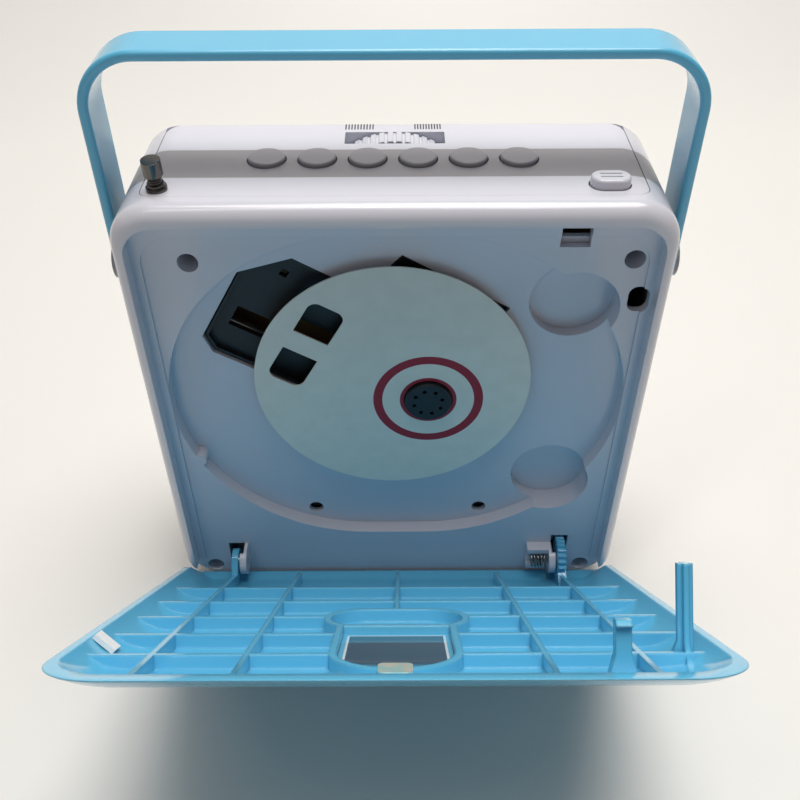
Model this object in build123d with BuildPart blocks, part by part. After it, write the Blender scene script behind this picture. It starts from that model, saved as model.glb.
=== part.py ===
from build123d import *
from math import atan2, cos, pi, radians, sin, sqrt
import os

os.makedirs("parts", exist_ok=True)

# Portable disc player and radio, millimetres. X runs across, +Z is up, and the disc lid faces -Y.
# Height zero is the underside of the feet, and the cabinet's middle depth is Y zero.

# Cabinet
cabinet_width = 156.0
cabinet_height = 157.0
cabinet_depth = 56.0
corner_radius = 13.0
edge_radius = 5.0
wall = 2.2
front_shell_depth = 18.0
band_width = 17.0
foot_height = 2.0
foot_radius = 6.0
foot_inset = 17.0

# Clearances
seam_gap = 0.3
running_gap = 0.05
button_gap = 0.35

# Disc deck
deck_depth = 6.0
lip_side = 4.0
lip_top = 6.0
lip_inner_radius = 9.0
lip_end_height = 8.5
toe_height = 0.8
toe_side = 2.6
toe_top = 5.6
well_radius = 61.5
well_shift = 10.2
well_rise = 84.0
well_depth = 5.0
well_wall = 2.0
recess_radius = 13.0
recess_x = 52.7
recess_rise = 36.25
recess_depth = 4.0
drain_hole_diameter = 5.0
drain_hole_x = 29.3
drain_hole_drop = 53.6
rim_bump_radius = 2.2
rim_bump_angle = 204.0
deck_screw_hole = 6.0
deck_screw_depth = 10.0
post_radius = 4.6
screw_top_left = (-58.3, 137.0)
screw_top_right = (67.4, 137.5)
screw_bottom_x = 68.4
screw_bottom_rise = 4.3

# Lid hinge
hinge_inset = 2.0
hinge_rise = 11.5
hinge_pin_diameter = 3.0
open_angle = 47.9
arm_thickness = 2.4
arm_centre_x = 59.2
arm_boss_radius = 4.4
arm_slot_side_gap = 1.8
arm_slot_top_gap = 0.6
ear_thickness = 2.4
ear_gap = 0.6
ear_radius = 5.0
spring_block_width = 7.6
spring_block_height = 10.0
spring_wire = 0.7
spring_coil_radius = 2.6
spring_quarters = 17
spring_leg = 7.0
spring_side_gap = 0.9
spring_samples = 240
gear_module = 0.65
root_half = 0.95
tip_half = 0.36
sector_teeth = 26
sector_width = 3.0
damper_teeth = 12
damper_direction = 20.0
damper_gear_width = 3.4
damper_body_radius = 5.1
damper_body_length = 7.0
sector_first = -1
sector_last = 9

# Lid
lid_width = 158.0
lid_length = 145.9
lid_rim = 2.4
lid_reach = 10.6
lid_wall = 2.2
lid_side_radius = 17.0
lid_end_radius = 80.9
lid_corner_radius = 17.0
lid_heel_corner = 8.0
lid_heel_rim = 5.3
lid_heel_start = 0.5
lid_heel_ramp = 5.0
lid_sections = 6
rib_drop = 2.3
rib_thickness = 1.5
cross_ribs = (29.0, 52.0, 73.5, 94.5, 115.0)
long_ribs = (36.0, 58.9)
frame_half_width = 16.4
frame_centre = 113.0
frame_start = 84.0
frame_wall = 1.9
oval_half_width = 20.5
oval_start = 63.0
oval_end = 88.0
window_ledge = 1.6
lens_thickness = 1.4
hook_x = 50.0
hook_v = 134.4
hook_width = 3.6
hook_thickness = 2.6
hook_reach = 10.0
hook_nose = 1.3
hook_flare = 5.0
hook_spread = 1.6
pin_x = 70.4
pin_v = 112.6
pin_span = 3.9
pin_blade = 1.4
pin_reach = 18.7
pin_gusset = 2.4
pad_length = 6.4
pad_width = 4.6
pad_thickness = 1.3
pad_turn = 39.0
pad_v = 107.0
tab_width = 8.0
tab_length = 8.0
tab_thickness = 0.4
tab_v = 129.0

# Latch and interlock
latch_slot_width = 8.4
latch_slot_top = 1.5
latch_slot_height = 7.9
interlock_width = 6.0
interlock_height = 8.5
latch_plate_thickness = 1.8
latch_plate_start = 43.8
latch_plate_end = 62.4
latch_plate_height = 10.6
latch_window_width = 9.0
latch_window_height = 5.7
latch_stem_width = 8.0
interlock_switch_length = 11.0
interlock_switch_height = 10.0
interlock_switch_depth = 6.0
interlock_lever = 5.0
interlock_lever_thickness = 1.0

# Top panel
panel_half_width = 69.2
panel_front = 7.2
panel_rear = 52.0
panel_thickness = 2.2
panel_corner = 5.0
panel_flange = 1.4
panel_flange_thickness = 1.4
band_inlay_thickness = 0.8
button_diameter = 10.7
button_pitch = 14.4
button_depth = 28.8
button_shift = -0.5
button_rise = 1.2
button_travel = 0.8
button_flange = 1.0
button_flange_thickness = 1.2
button_names = ("play_button", "stop_button", "forward_button", "back_button",
                "repeat_button", "program_button")
open_button_x = 58.7
open_button_depth = 13.0
open_button_length = 11.0
open_button_width = 7.0
open_button_rise = 2.8
open_button_travel = 2.0
open_groove_length = 6.0
open_groove_width = 0.5
open_groove_pitch = 1.8
open_groove_depth = 0.3
switch_size = 6.0
switch_height = 3.4
switch_plunger = 1.75
board_thickness = 1.6
button_board_length = 97.0
button_board_width = 12.0

# Aerial
aerial_x = -64.4
aerial_depth = 11.5
aerial_diameters = (4.6, 3.8, 3.0, 2.2)
aerial_length = 118.0
aerial_ring_radius = 2.9
aerial_ring_height = 0.8
aerial_neck_height = 2.4
aerial_knob_radius = 2.65
aerial_knob_height = 4.4
aerial_stagger = 0.5
aerial_lean = 6.5

# Tuning
wheel_radius = 25.0
wheel_thickness = 6.6
wheel_depth = 42.8
wheel_rise = 0.4
wheel_notches = 60
wheel_notch_radius = 0.55
dial_slot_half_width = 14.8
dial_slot_margin = 0.6
gang_size = 20.0
gang_depth = 9.0
gang_shaft = 6.0
volume_shaft = 3.0

# Handle
handle_gap = 3.2
handle_thickness = 3.0
handle_round = 1.2
handle_width = 16.0
handle_top = 193.0
handle_corner = 17.0
handle_pivot_height = 127.0
handle_pivot_diameter = 8.0
handle_cap_radius = 6.0
handle_cap_rise = 1.2

# Disc drive
hub_diameter = 14.9
hub_front = 6.5
hub_hole_circle = 4.6
hub_pip_diameter = 1.3
hub_pips = 8
turntable_radius = 15.0
turntable_thickness = 1.6
disc_plane = 8.5
card_diameter = 87.0
card_thickness = 0.5
card_shift = 13.1
card_hole_gap = 0.45
card_window_reach = 43.7
card_window_spread = 9.7
card_window_length = 11.7
card_window_width = 12.4
card_window_round = 3.0
chassis_gap = 0.6
chassis_thickness = 2.0
chassis_margin = 2.0
chassis_rim_height = 1.6
chassis_rim_width = 1.0
chassis_square = 2.4
chassis_square_place = (59.4, -17.2)
grommet_radius = 3.4
grommet_tab = 2.6
grommet_length = 4.2
grommet_places = ((-19.0, 0.0), (30.0, 23.5), (49.0, -31.0), (12.0, -46.5))
drive_angle = 150.0
pickup_opening = ((72.0, 14.2), (72.0, -12.3), (60.1, -24.5), (34.6, -24.5), (34.6, -35.3), (33.2, -41.1),
                  (-4.0, -41.1), (-4.0, -24.5), (-14.0, -18.3), (-14.0, 18.3), (66.9, 18.3))
tower_slot = (16.0, 55.6, -4.8, 7.8)
end_slot = (50.0, 66.5, 0.2, 7.8)
sled_length = 20.0
sled_width = 27.0
sled_thickness = 6.4
sled_home = 24.0
tower_wall = 0.8
tower_rise = 1.2
lens_diameter = 7.0
lens_rise = 1.2
rod_diameter = 3.0
rod_spread = 10.4
rod_drop = 3.6
rod_start = 10.4
rod_end = 73.5
rod_clip = 3.0
motor_radius = 11.0
motor_length = 8.0
motor_shaft = 2.0
sled_motor_radius = 7.8
sled_motor_length = 9.0
sled_motor_place = (26.0, -32.0)
hub_round = 0.5

# Rear side
speaker_x = 44.0
speaker_rise = 56.0
speaker_radius = 28.0
speaker_depth = 17.0
magnet_radius = 15.0
magnet_depth = 7.0
speaker_lip = 3.0
speaker_web = 1.5
cone_thickness = 0.8
dust_cap_radius = 8.0
transformer_size = (34.0, 20.0, 30.0)
transformer_place = (-45.0, 108.0)
main_board_left = -66.0
main_board_right = 73.0
main_board_bottom = 92.0
main_board_top = 147.0
grille_slot = 2.4
grille_pitch = 4.6
grille_rows = 11
grille_radius = 25.0
display_width = 30.0
display_height = 13.0
display_rise = 108.0
dial_window_width = 34.0
dial_window_height = 11.0
window_thickness = 1.5

# Sides and base
volume_radius = 11.0
volume_thickness = 5.0
volume_depth = 43.0
volume_rise = 96.0
volume_out = 2.2
volume_notches = 30
switch_knob_rise = 23.0
switch_knob_size = 5.0
switch_knob_out = 2.0
switch_knob_travel = 5.0
jack_rise = 96.0
jack_bore = 3.5
jack_radius = 4.5
jack_length = 12.0
inlet_rise = 24.0
inlet_width = 15.0
inlet_height = 8.0
inlet_length = 12.0
side_part_depth = 43.0
door_length = 106.0
door_width = 29.0
door_depth = 35.5
door_thickness = 2.0
door_gap = 0.35
battery_box_height = 25.0
battery_box_wall = 1.6
contact_thickness = 0.6
contact_width = 20.0
contact_height = 18.0

# Worked out from the above
bottom_z = foot_height
top_z = bottom_z + cabinet_height
middle_z = (bottom_z + top_z) / 2
side_x = cabinet_width / 2
front_y = -cabinet_depth / 2
rear_y = cabinet_depth / 2
band_front_y = front_y + front_shell_depth
band_rear_y = band_front_y + band_width
deck_y = front_y + deck_depth
deck_back_y = deck_y + wall
toe_y = deck_y - toe_height
well_floor_y = deck_y + well_depth
well_back_y = well_floor_y + well_wall
well_z = bottom_z + well_rise
hinge_y = front_y + hinge_inset
hinge_z = bottom_z + hinge_rise
pitch_radius = gear_module * sector_teeth / 2
tip_radius = pitch_radius + 0.8 * gear_module


def upright(depth):
    """Plane across the cabinet at a depth, facing the lid side, with X and Z as its axes."""
    return Plane.XZ.offset(-depth)


def edge_on(x):
    """Plane along the cabinet's side, with Y and Z as its axes."""
    return Plane.YZ.offset(x)


def pivot_plane(x):
    """Plane square to the hinge line at a place along it, with its origin on the hinge line."""
    return Plane(origin=(x, hinge_y, hinge_z), x_dir=(0, 1, 0), z_dir=(1, 0, 0))


def drive_plane(depth):
    """Plane facing the lid side with its origin on the hub and its first axis along the pickup's path."""
    along = (cos(radians(drive_angle)), 0, sin(radians(drive_angle)))
    return Plane(origin=(well_shift, depth, well_z), x_dir=along, z_dir=(0, -1, 0))


# The aerial leans so that its foot clears the disc well.
aerial_plane = Plane(origin=(aerial_x, front_y + aerial_depth, top_z), x_dir=(1, 0, 0),
                     z_dir=(0, -sin(radians(aerial_lean)), cos(radians(aerial_lean))))
aerial_profile = Plane(origin=aerial_plane.origin, x_dir=(1, 0, 0), z_dir=-aerial_plane.y_dir)

# The lid's own planes: v runs from the hinge line to the free edge, w runs outwards through the lid.
lid_along = (0, -sin(radians(open_angle)), cos(radians(open_angle)))
lid_out = (0, -cos(radians(open_angle)), -sin(radians(open_angle)))
lid_face = Plane(origin=(0, hinge_y, hinge_z), x_dir=(1, 0, 0), z_dir=lid_out)


def lid_side(x):
    """Section plane through the lid at a place along the hinge line, with v and w as its axes."""
    return Plane(origin=(x, hinge_y, hinge_z), x_dir=lid_along, z_dir=(1, 0, 0))


def lid_across(v):
    """Section plane through the lid at a distance from the hinge line, with X and w as its axes."""
    return Plane(origin=lid_side(0).from_local_coords((v, 0, 0)), x_dir=(1, 0, 0),
                 z_dir=(0, -lid_along[1], -lid_along[2]))


def rod_section(distance):
    """Plane square to the pickup's path, with the distance across the path and Y as its axes."""
    middle = drive_plane(0).from_local_coords((distance, 0, 0))
    return Plane(origin=middle, x_dir=-drive_plane(0).y_dir, z_dir=drive_plane(0).x_dir)


def speaker_section(side):
    """Plane through a speaker's axis, with the radius and Y as its axes."""
    return Plane(origin=(side * speaker_x, 0, bottom_z + speaker_rise), x_dir=(1, 0, 0), z_dir=(0, 0, 1))


def gear_points(teeth, module, first_angle, first, last):
    """Outline points of stub teeth, each centred a whole number of pitches from the first angle."""
    pitch = 2 * pi / teeth
    radius = module * teeth / 2
    root = radius - module
    tip = radius + 0.8 * module
    points = []
    for tooth in range(first, last + 1):
        middle = radians(first_angle) + tooth * pitch
        for distance, half in ((root, root_half), (tip, tip_half), (tip, -tip_half), (root, -root_half)):
            angle = middle - half * module / distance
            points.append((distance * cos(angle), distance * sin(angle)))
    return points


# Front shell: lid-side casing with the deck, the disc well and the hinge ears
lip_x = side_x - lip_side
slot_half = arm_thickness / 2 + arm_slot_side_gap
slot_bottom_z = hinge_z - lid_reach
left_slot_top = arm_boss_radius + arm_slot_top_gap
slot_top_rise = sqrt(tip_radius**2 - (deck_depth - hinge_inset) ** 2) + arm_slot_top_gap
latch_z = top_z - lip_top - latch_slot_top - latch_slot_height / 2
interlock_z = hinge_z + pin_v
ear_x = arm_centre_x - arm_thickness / 2 - ear_gap - ear_thickness / 2
screw_points = [
    (screw_top_left[0], bottom_z + screw_top_left[1]),
    (screw_top_right[0], bottom_z + screw_top_right[1]),
    (-screw_bottom_x, bottom_z + screw_bottom_rise),
    (screw_bottom_x, bottom_z + screw_bottom_rise),
]

with BuildPart() as front_cabinet:
    with BuildSketch(upright(band_front_y)):
        with Locations((0, middle_z)):
            RectangleRounded(cabinet_width, cabinet_height, corner_radius)
    extrude(amount=front_shell_depth)
    fillet(front_cabinet.faces().sort_by(Axis.Y)[0].edges(), edge_radius)
    # Hollow from behind, up to the back of the deck
    with BuildSketch(upright(band_front_y)):
        with Locations((0, middle_z)):
            RectangleRounded(cabinet_width - 2 * wall, cabinet_height - 2 * wall, corner_radius - wall)
    extrude(amount=band_front_y - deck_back_y, mode=Mode.SUBTRACT)
    # Deck sunk between the lips and open at the foot, with a low step round it
    for depth, half, top in ((toe_y, lip_x, top_z - lip_top),
                             (deck_y, lip_x - toe_side, top_z - lip_top - toe_top)):
        with BuildSketch(upright(depth)):
            with Locations((0, top / 2 - lip_inner_radius)):
                RectangleRounded(2 * half, top + 2 * lip_inner_radius, lip_inner_radius)
        extrude(amount=deck_depth, mode=Mode.SUBTRACT)
    with BuildSketch(upright(deck_y)):
        with Locations((0, bottom_z)):
            Rectangle(cabinet_width, 2 * lip_end_height)
    extrude(amount=deck_depth, mode=Mode.SUBTRACT)
    # Stadium-shaped disc well
    with BuildSketch(upright(well_back_y)):
        with Locations((0, well_z)):
            SlotCenterToCenter(2 * well_shift, 2 * (well_radius + well_wall))
    extrude(amount=well_back_y - deck_back_y)
    for rise in (-recess_rise, recess_rise):
        with BuildSketch(upright(well_floor_y + recess_depth + well_wall)):
            with Locations((recess_x, well_z + rise)):
                Circle(recess_radius + well_wall)
        extrude(amount=well_floor_y + recess_depth + well_wall - deck_back_y)
    with BuildSketch(upright(well_floor_y)):
        with Locations((0, well_z)):
            SlotCenterToCenter(2 * well_shift, 2 * well_radius)
    extrude(amount=well_depth, mode=Mode.SUBTRACT)
    # Posts for the case screws, with countersunk heads let into the deck
    for x, z in screw_points:
        with BuildSketch(upright(band_front_y)):
            with Locations((x, z)):
                Circle(post_radius)
            with Locations((0, middle_z)):
                RectangleRounded(cabinet_width - wall, cabinet_height - wall, corner_radius - wall / 2,
                                 mode=Mode.INTERSECT)
        extrude(amount=band_front_y - deck_back_y)
    for x, z in screw_points:
        with BuildSketch(upright(toe_y)):
            with Locations((x, z)):
                Circle(deck_screw_hole / 2)
        extrude(amount=-(toe_height + deck_screw_depth), mode=Mode.SUBTRACT)
    # Opening over the drive
    with BuildSketch(drive_plane(well_back_y)):
        with BuildLine():
            Polyline(*pickup_opening, close=True)
        make_face()
    extrude(amount=well_wall, mode=Mode.SUBTRACT)
    # Finger recesses
    for rise in (-recess_rise, recess_rise):
        with BuildSketch(upright(deck_y)):
            with Locations((recess_x, well_z + rise)):
                Circle(recess_radius)
        extrude(amount=-(well_depth + recess_depth), mode=Mode.SUBTRACT)
    # Holes in the well floor, latch slot and interlock slot
    with BuildSketch(upright(toe_y)):
        with Locations((-drain_hole_x, well_z - drain_hole_drop), (drain_hole_x, well_z - drain_hole_drop)):
            Circle(drain_hole_diameter / 2)
        with Locations((hook_x, latch_z)):
            Rectangle(latch_slot_width, latch_slot_height)
        with Locations((pin_x, interlock_z)):
            RectangleRounded(interlock_width, interlock_height, interlock_width / 2 - seam_gap)
    extrude(amount=-(toe_height + well_depth + well_wall), mode=Mode.SUBTRACT)
    # Bump on the rim of the well
    bump_x = -well_shift + well_radius * cos(radians(rim_bump_angle))
    bump_z = well_z + well_radius * sin(radians(rim_bump_angle))
    with BuildSketch(upright(well_floor_y)):
        with Locations((bump_x, bump_z)):
            Circle(rim_bump_radius)
    extrude(amount=well_depth)
    # Hinge ears with the spring block, and slots for the lid's arms
    for side in (-1, 1):
        with BuildSketch(pivot_plane(side * ear_x - ear_thickness / 2)):
            Circle(ear_radius)
            with Locations(((deck_depth - hinge_inset) / 2 + wall / 4, 0)):
                Rectangle(deck_depth - hinge_inset + wall / 2, 2 * ear_radius)
        extrude(amount=ear_thickness)
    block_start = ear_x - ear_thickness / 2 - spring_block_width
    with BuildSketch(pivot_plane(block_start)):
        with Locations(((deck_depth - hinge_inset) / 2, 0)):
            Rectangle(deck_depth - hinge_inset, spring_block_height)
        Circle(spring_coil_radius + spring_wire / 2 + running_gap, mode=Mode.SUBTRACT)
    extrude(amount=spring_block_width)
    for side, top in ((-1, left_slot_top), (1, slot_top_rise)):
        with BuildSketch(upright(deck_y - ear_radius)):
            with Locations((side * arm_centre_x, (slot_bottom_z + hinge_z + top) / 2)):
                Rectangle(2 * slot_half, hinge_z + top - slot_bottom_z)
        extrude(amount=-(ear_radius + 2 * wall), mode=Mode.SUBTRACT)
    # Bores for the hinge pins
    for side in (-1, 1):
        with BuildSketch(pivot_plane(side * (ear_x - ear_thickness / 2))):
            Circle(hinge_pin_diameter / 2)
        extrude(amount=side * ear_thickness, mode=Mode.SUBTRACT)
    # Cradle for the aerial in the screw post beside it
    with BuildSketch(aerial_plane):
        Circle(aerial_diameters[0] / 2 + seam_gap)
    extrude(amount=-aerial_length, mode=Mode.SUBTRACT)
    # Opening for the top panel
    with BuildSketch(Plane.XY.offset(top_z)):
        with Locations((0, (front_y + panel_front + band_front_y) / 2 + panel_corner)):
            RectangleRounded(2 * panel_half_width + 2 * seam_gap,
                             band_front_y - front_y - panel_front + 2 * panel_corner, panel_corner)
    extrude(amount=-wall, mode=Mode.SUBTRACT)
front_cabinet.part.label = "front_cabinet"
export_step(front_cabinet.part, "parts/front_cabinet.step")

# Band between the shells
with BuildPart() as centre_band:
    with BuildSketch(upright(band_rear_y)):
        with Locations((0, middle_z)):
            RectangleRounded(cabinet_width, cabinet_height, corner_radius)
            RectangleRounded(cabinet_width - 2 * wall, cabinet_height - 2 * wall, corner_radius - wall,
                             mode=Mode.SUBTRACT)
    extrude(amount=band_width)
    # Bosses round the handle pivots
    for side in (-1, 1):
        with BuildSketch(edge_on(side * (side_x - 2 * wall))):
            with Locations((0, handle_pivot_height)):
                Circle(handle_pivot_diameter / 2 + wall)
        extrude(amount=side * wall)
    with BuildSketch(edge_on(-side_x)):
        with Locations((0, handle_pivot_height)):
            Circle(handle_pivot_diameter / 2 + running_gap)
    extrude(amount=cabinet_width, mode=Mode.SUBTRACT)
    # Openings for the top panel and the battery door
    with BuildSketch(Plane.XY.offset(top_z)):
        with Locations((0, (band_front_y + band_rear_y) / 2)):
            Rectangle(2 * panel_half_width + 2 * seam_gap, band_width)
    extrude(amount=-wall, mode=Mode.SUBTRACT)
    with BuildSketch(Plane.XY.offset(bottom_z)):
        with Locations((0, front_y + door_depth)):
            Rectangle(door_length, door_width)
    extrude(amount=wall, mode=Mode.SUBTRACT)
centre_band.part.label = "centre_band"
export_step(centre_band.part, "parts/centre_band.step")

# Rear shell: listening-side casing with the speaker grilles and windows
grille_z = bottom_z + speaker_rise
display_z = bottom_z + display_rise
wheel_y = front_y + wheel_depth
wheel_z = top_z + wheel_rise - wheel_radius
dial_z = top_z - 3 * wall - dial_window_height / 2
side_part_y = front_y + side_part_depth
volume_y = front_y + volume_depth
volume_z = bottom_z + volume_rise
knob_z = bottom_z + switch_knob_rise
jack_z = bottom_z + jack_rise
inlet_z = bottom_z + inlet_rise
volume_slot_length = 2 * sqrt(volume_radius**2 - (volume_radius - volume_out - wall) ** 2) + 2 * seam_gap

with BuildPart() as rear_cabinet:
    with BuildSketch(upright(rear_y)):
        with Locations((0, middle_z)):
            RectangleRounded(cabinet_width, cabinet_height, corner_radius)
    extrude(amount=rear_y - band_rear_y)
    fillet(rear_cabinet.faces().sort_by(Axis.Y)[-1].edges(), edge_radius)
    with BuildSketch(upright(rear_y - wall)):
        with Locations((0, middle_z)):
            RectangleRounded(cabinet_width - 2 * wall, cabinet_height - 2 * wall, corner_radius - wall)
    extrude(amount=rear_y - wall - band_rear_y, mode=Mode.SUBTRACT)
    # Rows of slots in front of each speaker
    with BuildSketch(upright(rear_y)):
        for row in range(grille_rows):
            rise = grille_pitch * (row - (grille_rows - 1) / 2)
            slot_length = 2 * sqrt(grille_radius**2 - rise**2)
            with Locations((-speaker_x, grille_z + rise), (speaker_x, grille_z + rise)):
                SlotOverall(slot_length, grille_slot)
    extrude(amount=wall, mode=Mode.SUBTRACT)
    # Posts that take the case screws
    for x, z in screw_points:
        with BuildSketch(upright(rear_y - wall)):
            with Locations((x, z)):
                Circle(post_radius)
            with Locations((0, middle_z)):
                RectangleRounded(cabinet_width - 2 * wall - seam_gap, cabinet_height - 2 * wall - seam_gap,
                                 corner_radius - wall, mode=Mode.INTERSECT)
        extrude(amount=rear_y - wall - band_front_y)
    # Display and dial windows
    with BuildSketch(upright(rear_y)):
        with Locations((0, display_z)):
            RectangleRounded(display_width, display_height, wall)
        with Locations((0, dial_z)):
            RectangleRounded(dial_window_width, dial_window_height, wall)
    extrude(amount=wall, mode=Mode.SUBTRACT)
    # Side openings: volume wheel and function knob at one end, phone jack and mains inlet at the other
    with BuildSketch(edge_on(side_x)):
        with Locations((volume_y, volume_z)):
            Rectangle(volume_thickness + 2 * seam_gap, volume_slot_length)
        with Locations((side_part_y, knob_z)):
            Rectangle(switch_knob_size + 2 * seam_gap, switch_knob_size + switch_knob_travel + 2 * seam_gap)
    extrude(amount=-wall, mode=Mode.SUBTRACT)
    with BuildSketch(edge_on(-side_x)):
        with Locations((side_part_y, jack_z)):
            Circle(jack_radius)
        with Locations((side_part_y, inlet_z)):
            SlotOverall(inlet_width, inlet_height, rotation=90)
    extrude(amount=wall, mode=Mode.SUBTRACT)
    # Openings for the top panel and the battery door
    with BuildSketch(Plane.XY.offset(top_z)):
        with Locations((0, (band_rear_y + front_y + panel_rear + seam_gap) / 2)):
            Rectangle(2 * panel_half_width + 2 * seam_gap, front_y + panel_rear + seam_gap - band_rear_y)
    extrude(amount=-wall, mode=Mode.SUBTRACT)
    with BuildSketch(Plane.XY.offset(bottom_z)):
        with Locations((0, front_y + door_depth)):
            Rectangle(door_length, door_width)
    extrude(amount=wall, mode=Mode.SUBTRACT)
rear_cabinet.part.label = "rear_cabinet"
export_step(rear_cabinet.part, "parts/rear_cabinet.step")

# Top panel with a flange clamped under the shells, and its inlaid strip of band colour
panel_length = panel_rear - panel_front
panel_y = front_y + (panel_front + panel_rear) / 2
button_y = front_y + button_depth
button_xs = [button_shift + button_pitch * (place - (len(button_names) - 1) / 2)
             for place in range(len(button_names))]
open_button_y = front_y + open_button_depth
dial_slot_width = wheel_thickness + 2 * dial_slot_margin
flange_half_width = side_x - corner_radius


def band_strip():
    """Draws the strip of band colour across the top panel, following the crown of the cabinet."""
    with Locations((0, middle_z)):
        RectangleRounded(cabinet_width, cabinet_height, corner_radius)
        RectangleRounded(cabinet_width - 2 * band_inlay_thickness, cabinet_height - 2 * band_inlay_thickness,
                         corner_radius - band_inlay_thickness, mode=Mode.SUBTRACT)
    with Locations((0, top_z)):
        Rectangle(2 * panel_half_width, corner_radius, mode=Mode.INTERSECT)


with BuildPart() as control_panel:
    with BuildSketch(Plane.XY.offset(top_z)):
        with Locations((0, panel_y)):
            RectangleRounded(2 * panel_half_width, panel_length, panel_corner - seam_gap)
    extrude(amount=-panel_thickness)
    with BuildSketch(upright(rear_y)):
        with Locations((0, middle_z)):
            RectangleRounded(cabinet_width, cabinet_height, corner_radius)
    extrude(amount=cabinet_depth, mode=Mode.INTERSECT)
    with BuildSketch(Plane.XY.offset(top_z - panel_thickness)):
        with Locations((0, deck_back_y + seam_gap)):
            Rectangle(2 * flange_half_width, front_y + panel_rear + panel_flange - deck_back_y - seam_gap,
                      align=(Align.CENTER, Align.MIN))
    extrude(amount=-panel_flange_thickness)
    with BuildSketch(upright(band_rear_y)):
        band_strip()
    extrude(amount=band_width, mode=Mode.SUBTRACT)
    with BuildSketch(aerial_plane):
        Circle(aerial_ring_radius + running_gap)
    extrude(amount=aerial_ring_height, mode=Mode.SUBTRACT)
    with BuildSketch(aerial_plane.offset(aerial_ring_height)):
        Circle(aerial_diameters[0] / 2 + running_gap)
    extrude(amount=-(aerial_ring_height + panel_thickness + 2 * panel_flange_thickness), mode=Mode.SUBTRACT)
    with BuildSketch(Plane.XY.offset(top_z)):
        with Locations(*[(x, button_y) for x in button_xs]):
            Circle(button_diameter / 2 + button_gap)
        with Locations((open_button_x, open_button_y)):
            SlotOverall(open_button_length + 2 * button_gap, open_button_width + 2 * button_gap)
        with Locations((0, wheel_y)):
            Rectangle(2 * dial_slot_half_width, dial_slot_width)
    extrude(amount=-(panel_thickness + panel_flange_thickness), mode=Mode.SUBTRACT)
    # Pillars that carry the button board
    button_board_top = (top_z - panel_thickness - panel_flange_thickness - button_flange_thickness
                        - button_travel - switch_height)
    with BuildSketch(Plane.XY.offset(button_board_top)):
        with GridLocations(button_board_length - 2 * wall, 1, 2, 1):
            with Locations((0, button_y)):
                Circle(wall)
    extrude(amount=top_z - panel_thickness - panel_flange_thickness - button_board_top)
control_panel.part.label = "control_panel"
export_step(control_panel.part, "parts/control_panel.step")

with BuildPart() as panel_band:
    with BuildSketch(upright(band_rear_y)):
        band_strip()
    extrude(amount=band_width)
    with BuildSketch(Plane.XY.offset(top_z)):
        with Locations(*[(x, button_y) for x in button_xs]):
            Circle(button_diameter / 2 + button_gap)
    extrude(amount=-panel_thickness, mode=Mode.SUBTRACT)
panel_band.part.label = "panel_band"
export_step(panel_band.part, "parts/panel_band.step")

# Function buttons: crowned caps, each with a retaining flange and a stem down to its switch
flange_top = top_z - panel_thickness - panel_flange_thickness - seam_gap
switch_top = button_board_top + switch_height
for button_name, button_x in zip(button_names, button_xs):
    with BuildPart() as button:
        with BuildSketch(Plane.XY.offset(flange_top)):
            with Locations((button_x, button_y)):
                Circle(button_diameter / 2)
        extrude(amount=top_z + button_rise - flange_top)
        fillet(button.faces().sort_by(Axis.Z)[-1].edges(), button_rise / 2)
        with BuildSketch(Plane.XY.offset(flange_top)):
            with Locations((button_x, button_y)):
                Circle(button_diameter / 2 + button_flange)
        extrude(amount=-button_flange_thickness)
        with BuildSketch(Plane.XY.offset(flange_top - button_flange_thickness)):
            with Locations((button_x, button_y)):
                Circle(switch_plunger)
        extrude(amount=-(flange_top - button_flange_thickness - switch_top))
    button.part.label = button_name
    export_step(button.part, f"parts/{button_name}.step")

# Board under the buttons, with a small switch for each
with BuildPart() as button_board:
    with BuildSketch(Plane.XY.offset(button_board_top)):
        with Locations((0, button_y)):
            Rectangle(button_board_length, button_board_width)
    extrude(amount=-board_thickness)
button_board.part.label = "button_board"
export_step(button_board.part, "parts/button_board.step")

with BuildPart() as button_switches:
    with BuildSketch(Plane.XY.offset(button_board_top)):
        with Locations(*[(x, button_y) for x in button_xs]):
            Rectangle(switch_size, switch_size)
    extrude(amount=switch_height - button_travel - seam_gap)
button_switches.part.label = "button_switches"
export_step(button_switches.part, "parts/button_switches.step")

# Lid release button and the latch plate that it pushes down
with BuildPart() as open_button:
    with BuildSketch(Plane.XY.offset(flange_top - open_button_travel)):
        with Locations((open_button_x, open_button_y)):
            SlotOverall(open_button_length, open_button_width)
    extrude(amount=top_z + open_button_rise - flange_top + open_button_travel)
    fillet(open_button.faces().sort_by(Axis.Z)[-1].edges(), open_button_rise / 3)
    with BuildSketch(Plane.XY.offset(flange_top)):
        with Locations((open_button_x, open_button_y)):
            SlotOverall(open_button_length + 2 * button_flange, open_button_width + 2 * button_flange)
    extrude(amount=-button_flange_thickness)
    # Grip grooves
    with BuildSketch(Plane.XY.offset(top_z + open_button_rise)):
        with Locations((open_button_x, open_button_y)):
            with GridLocations(1, open_groove_pitch, 1, 2):
                SlotOverall(open_groove_length, open_groove_width)
    extrude(amount=-open_groove_depth, mode=Mode.SUBTRACT)
open_button.part.label = "open_button"
export_step(open_button.part, "parts/open_button.step")

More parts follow.
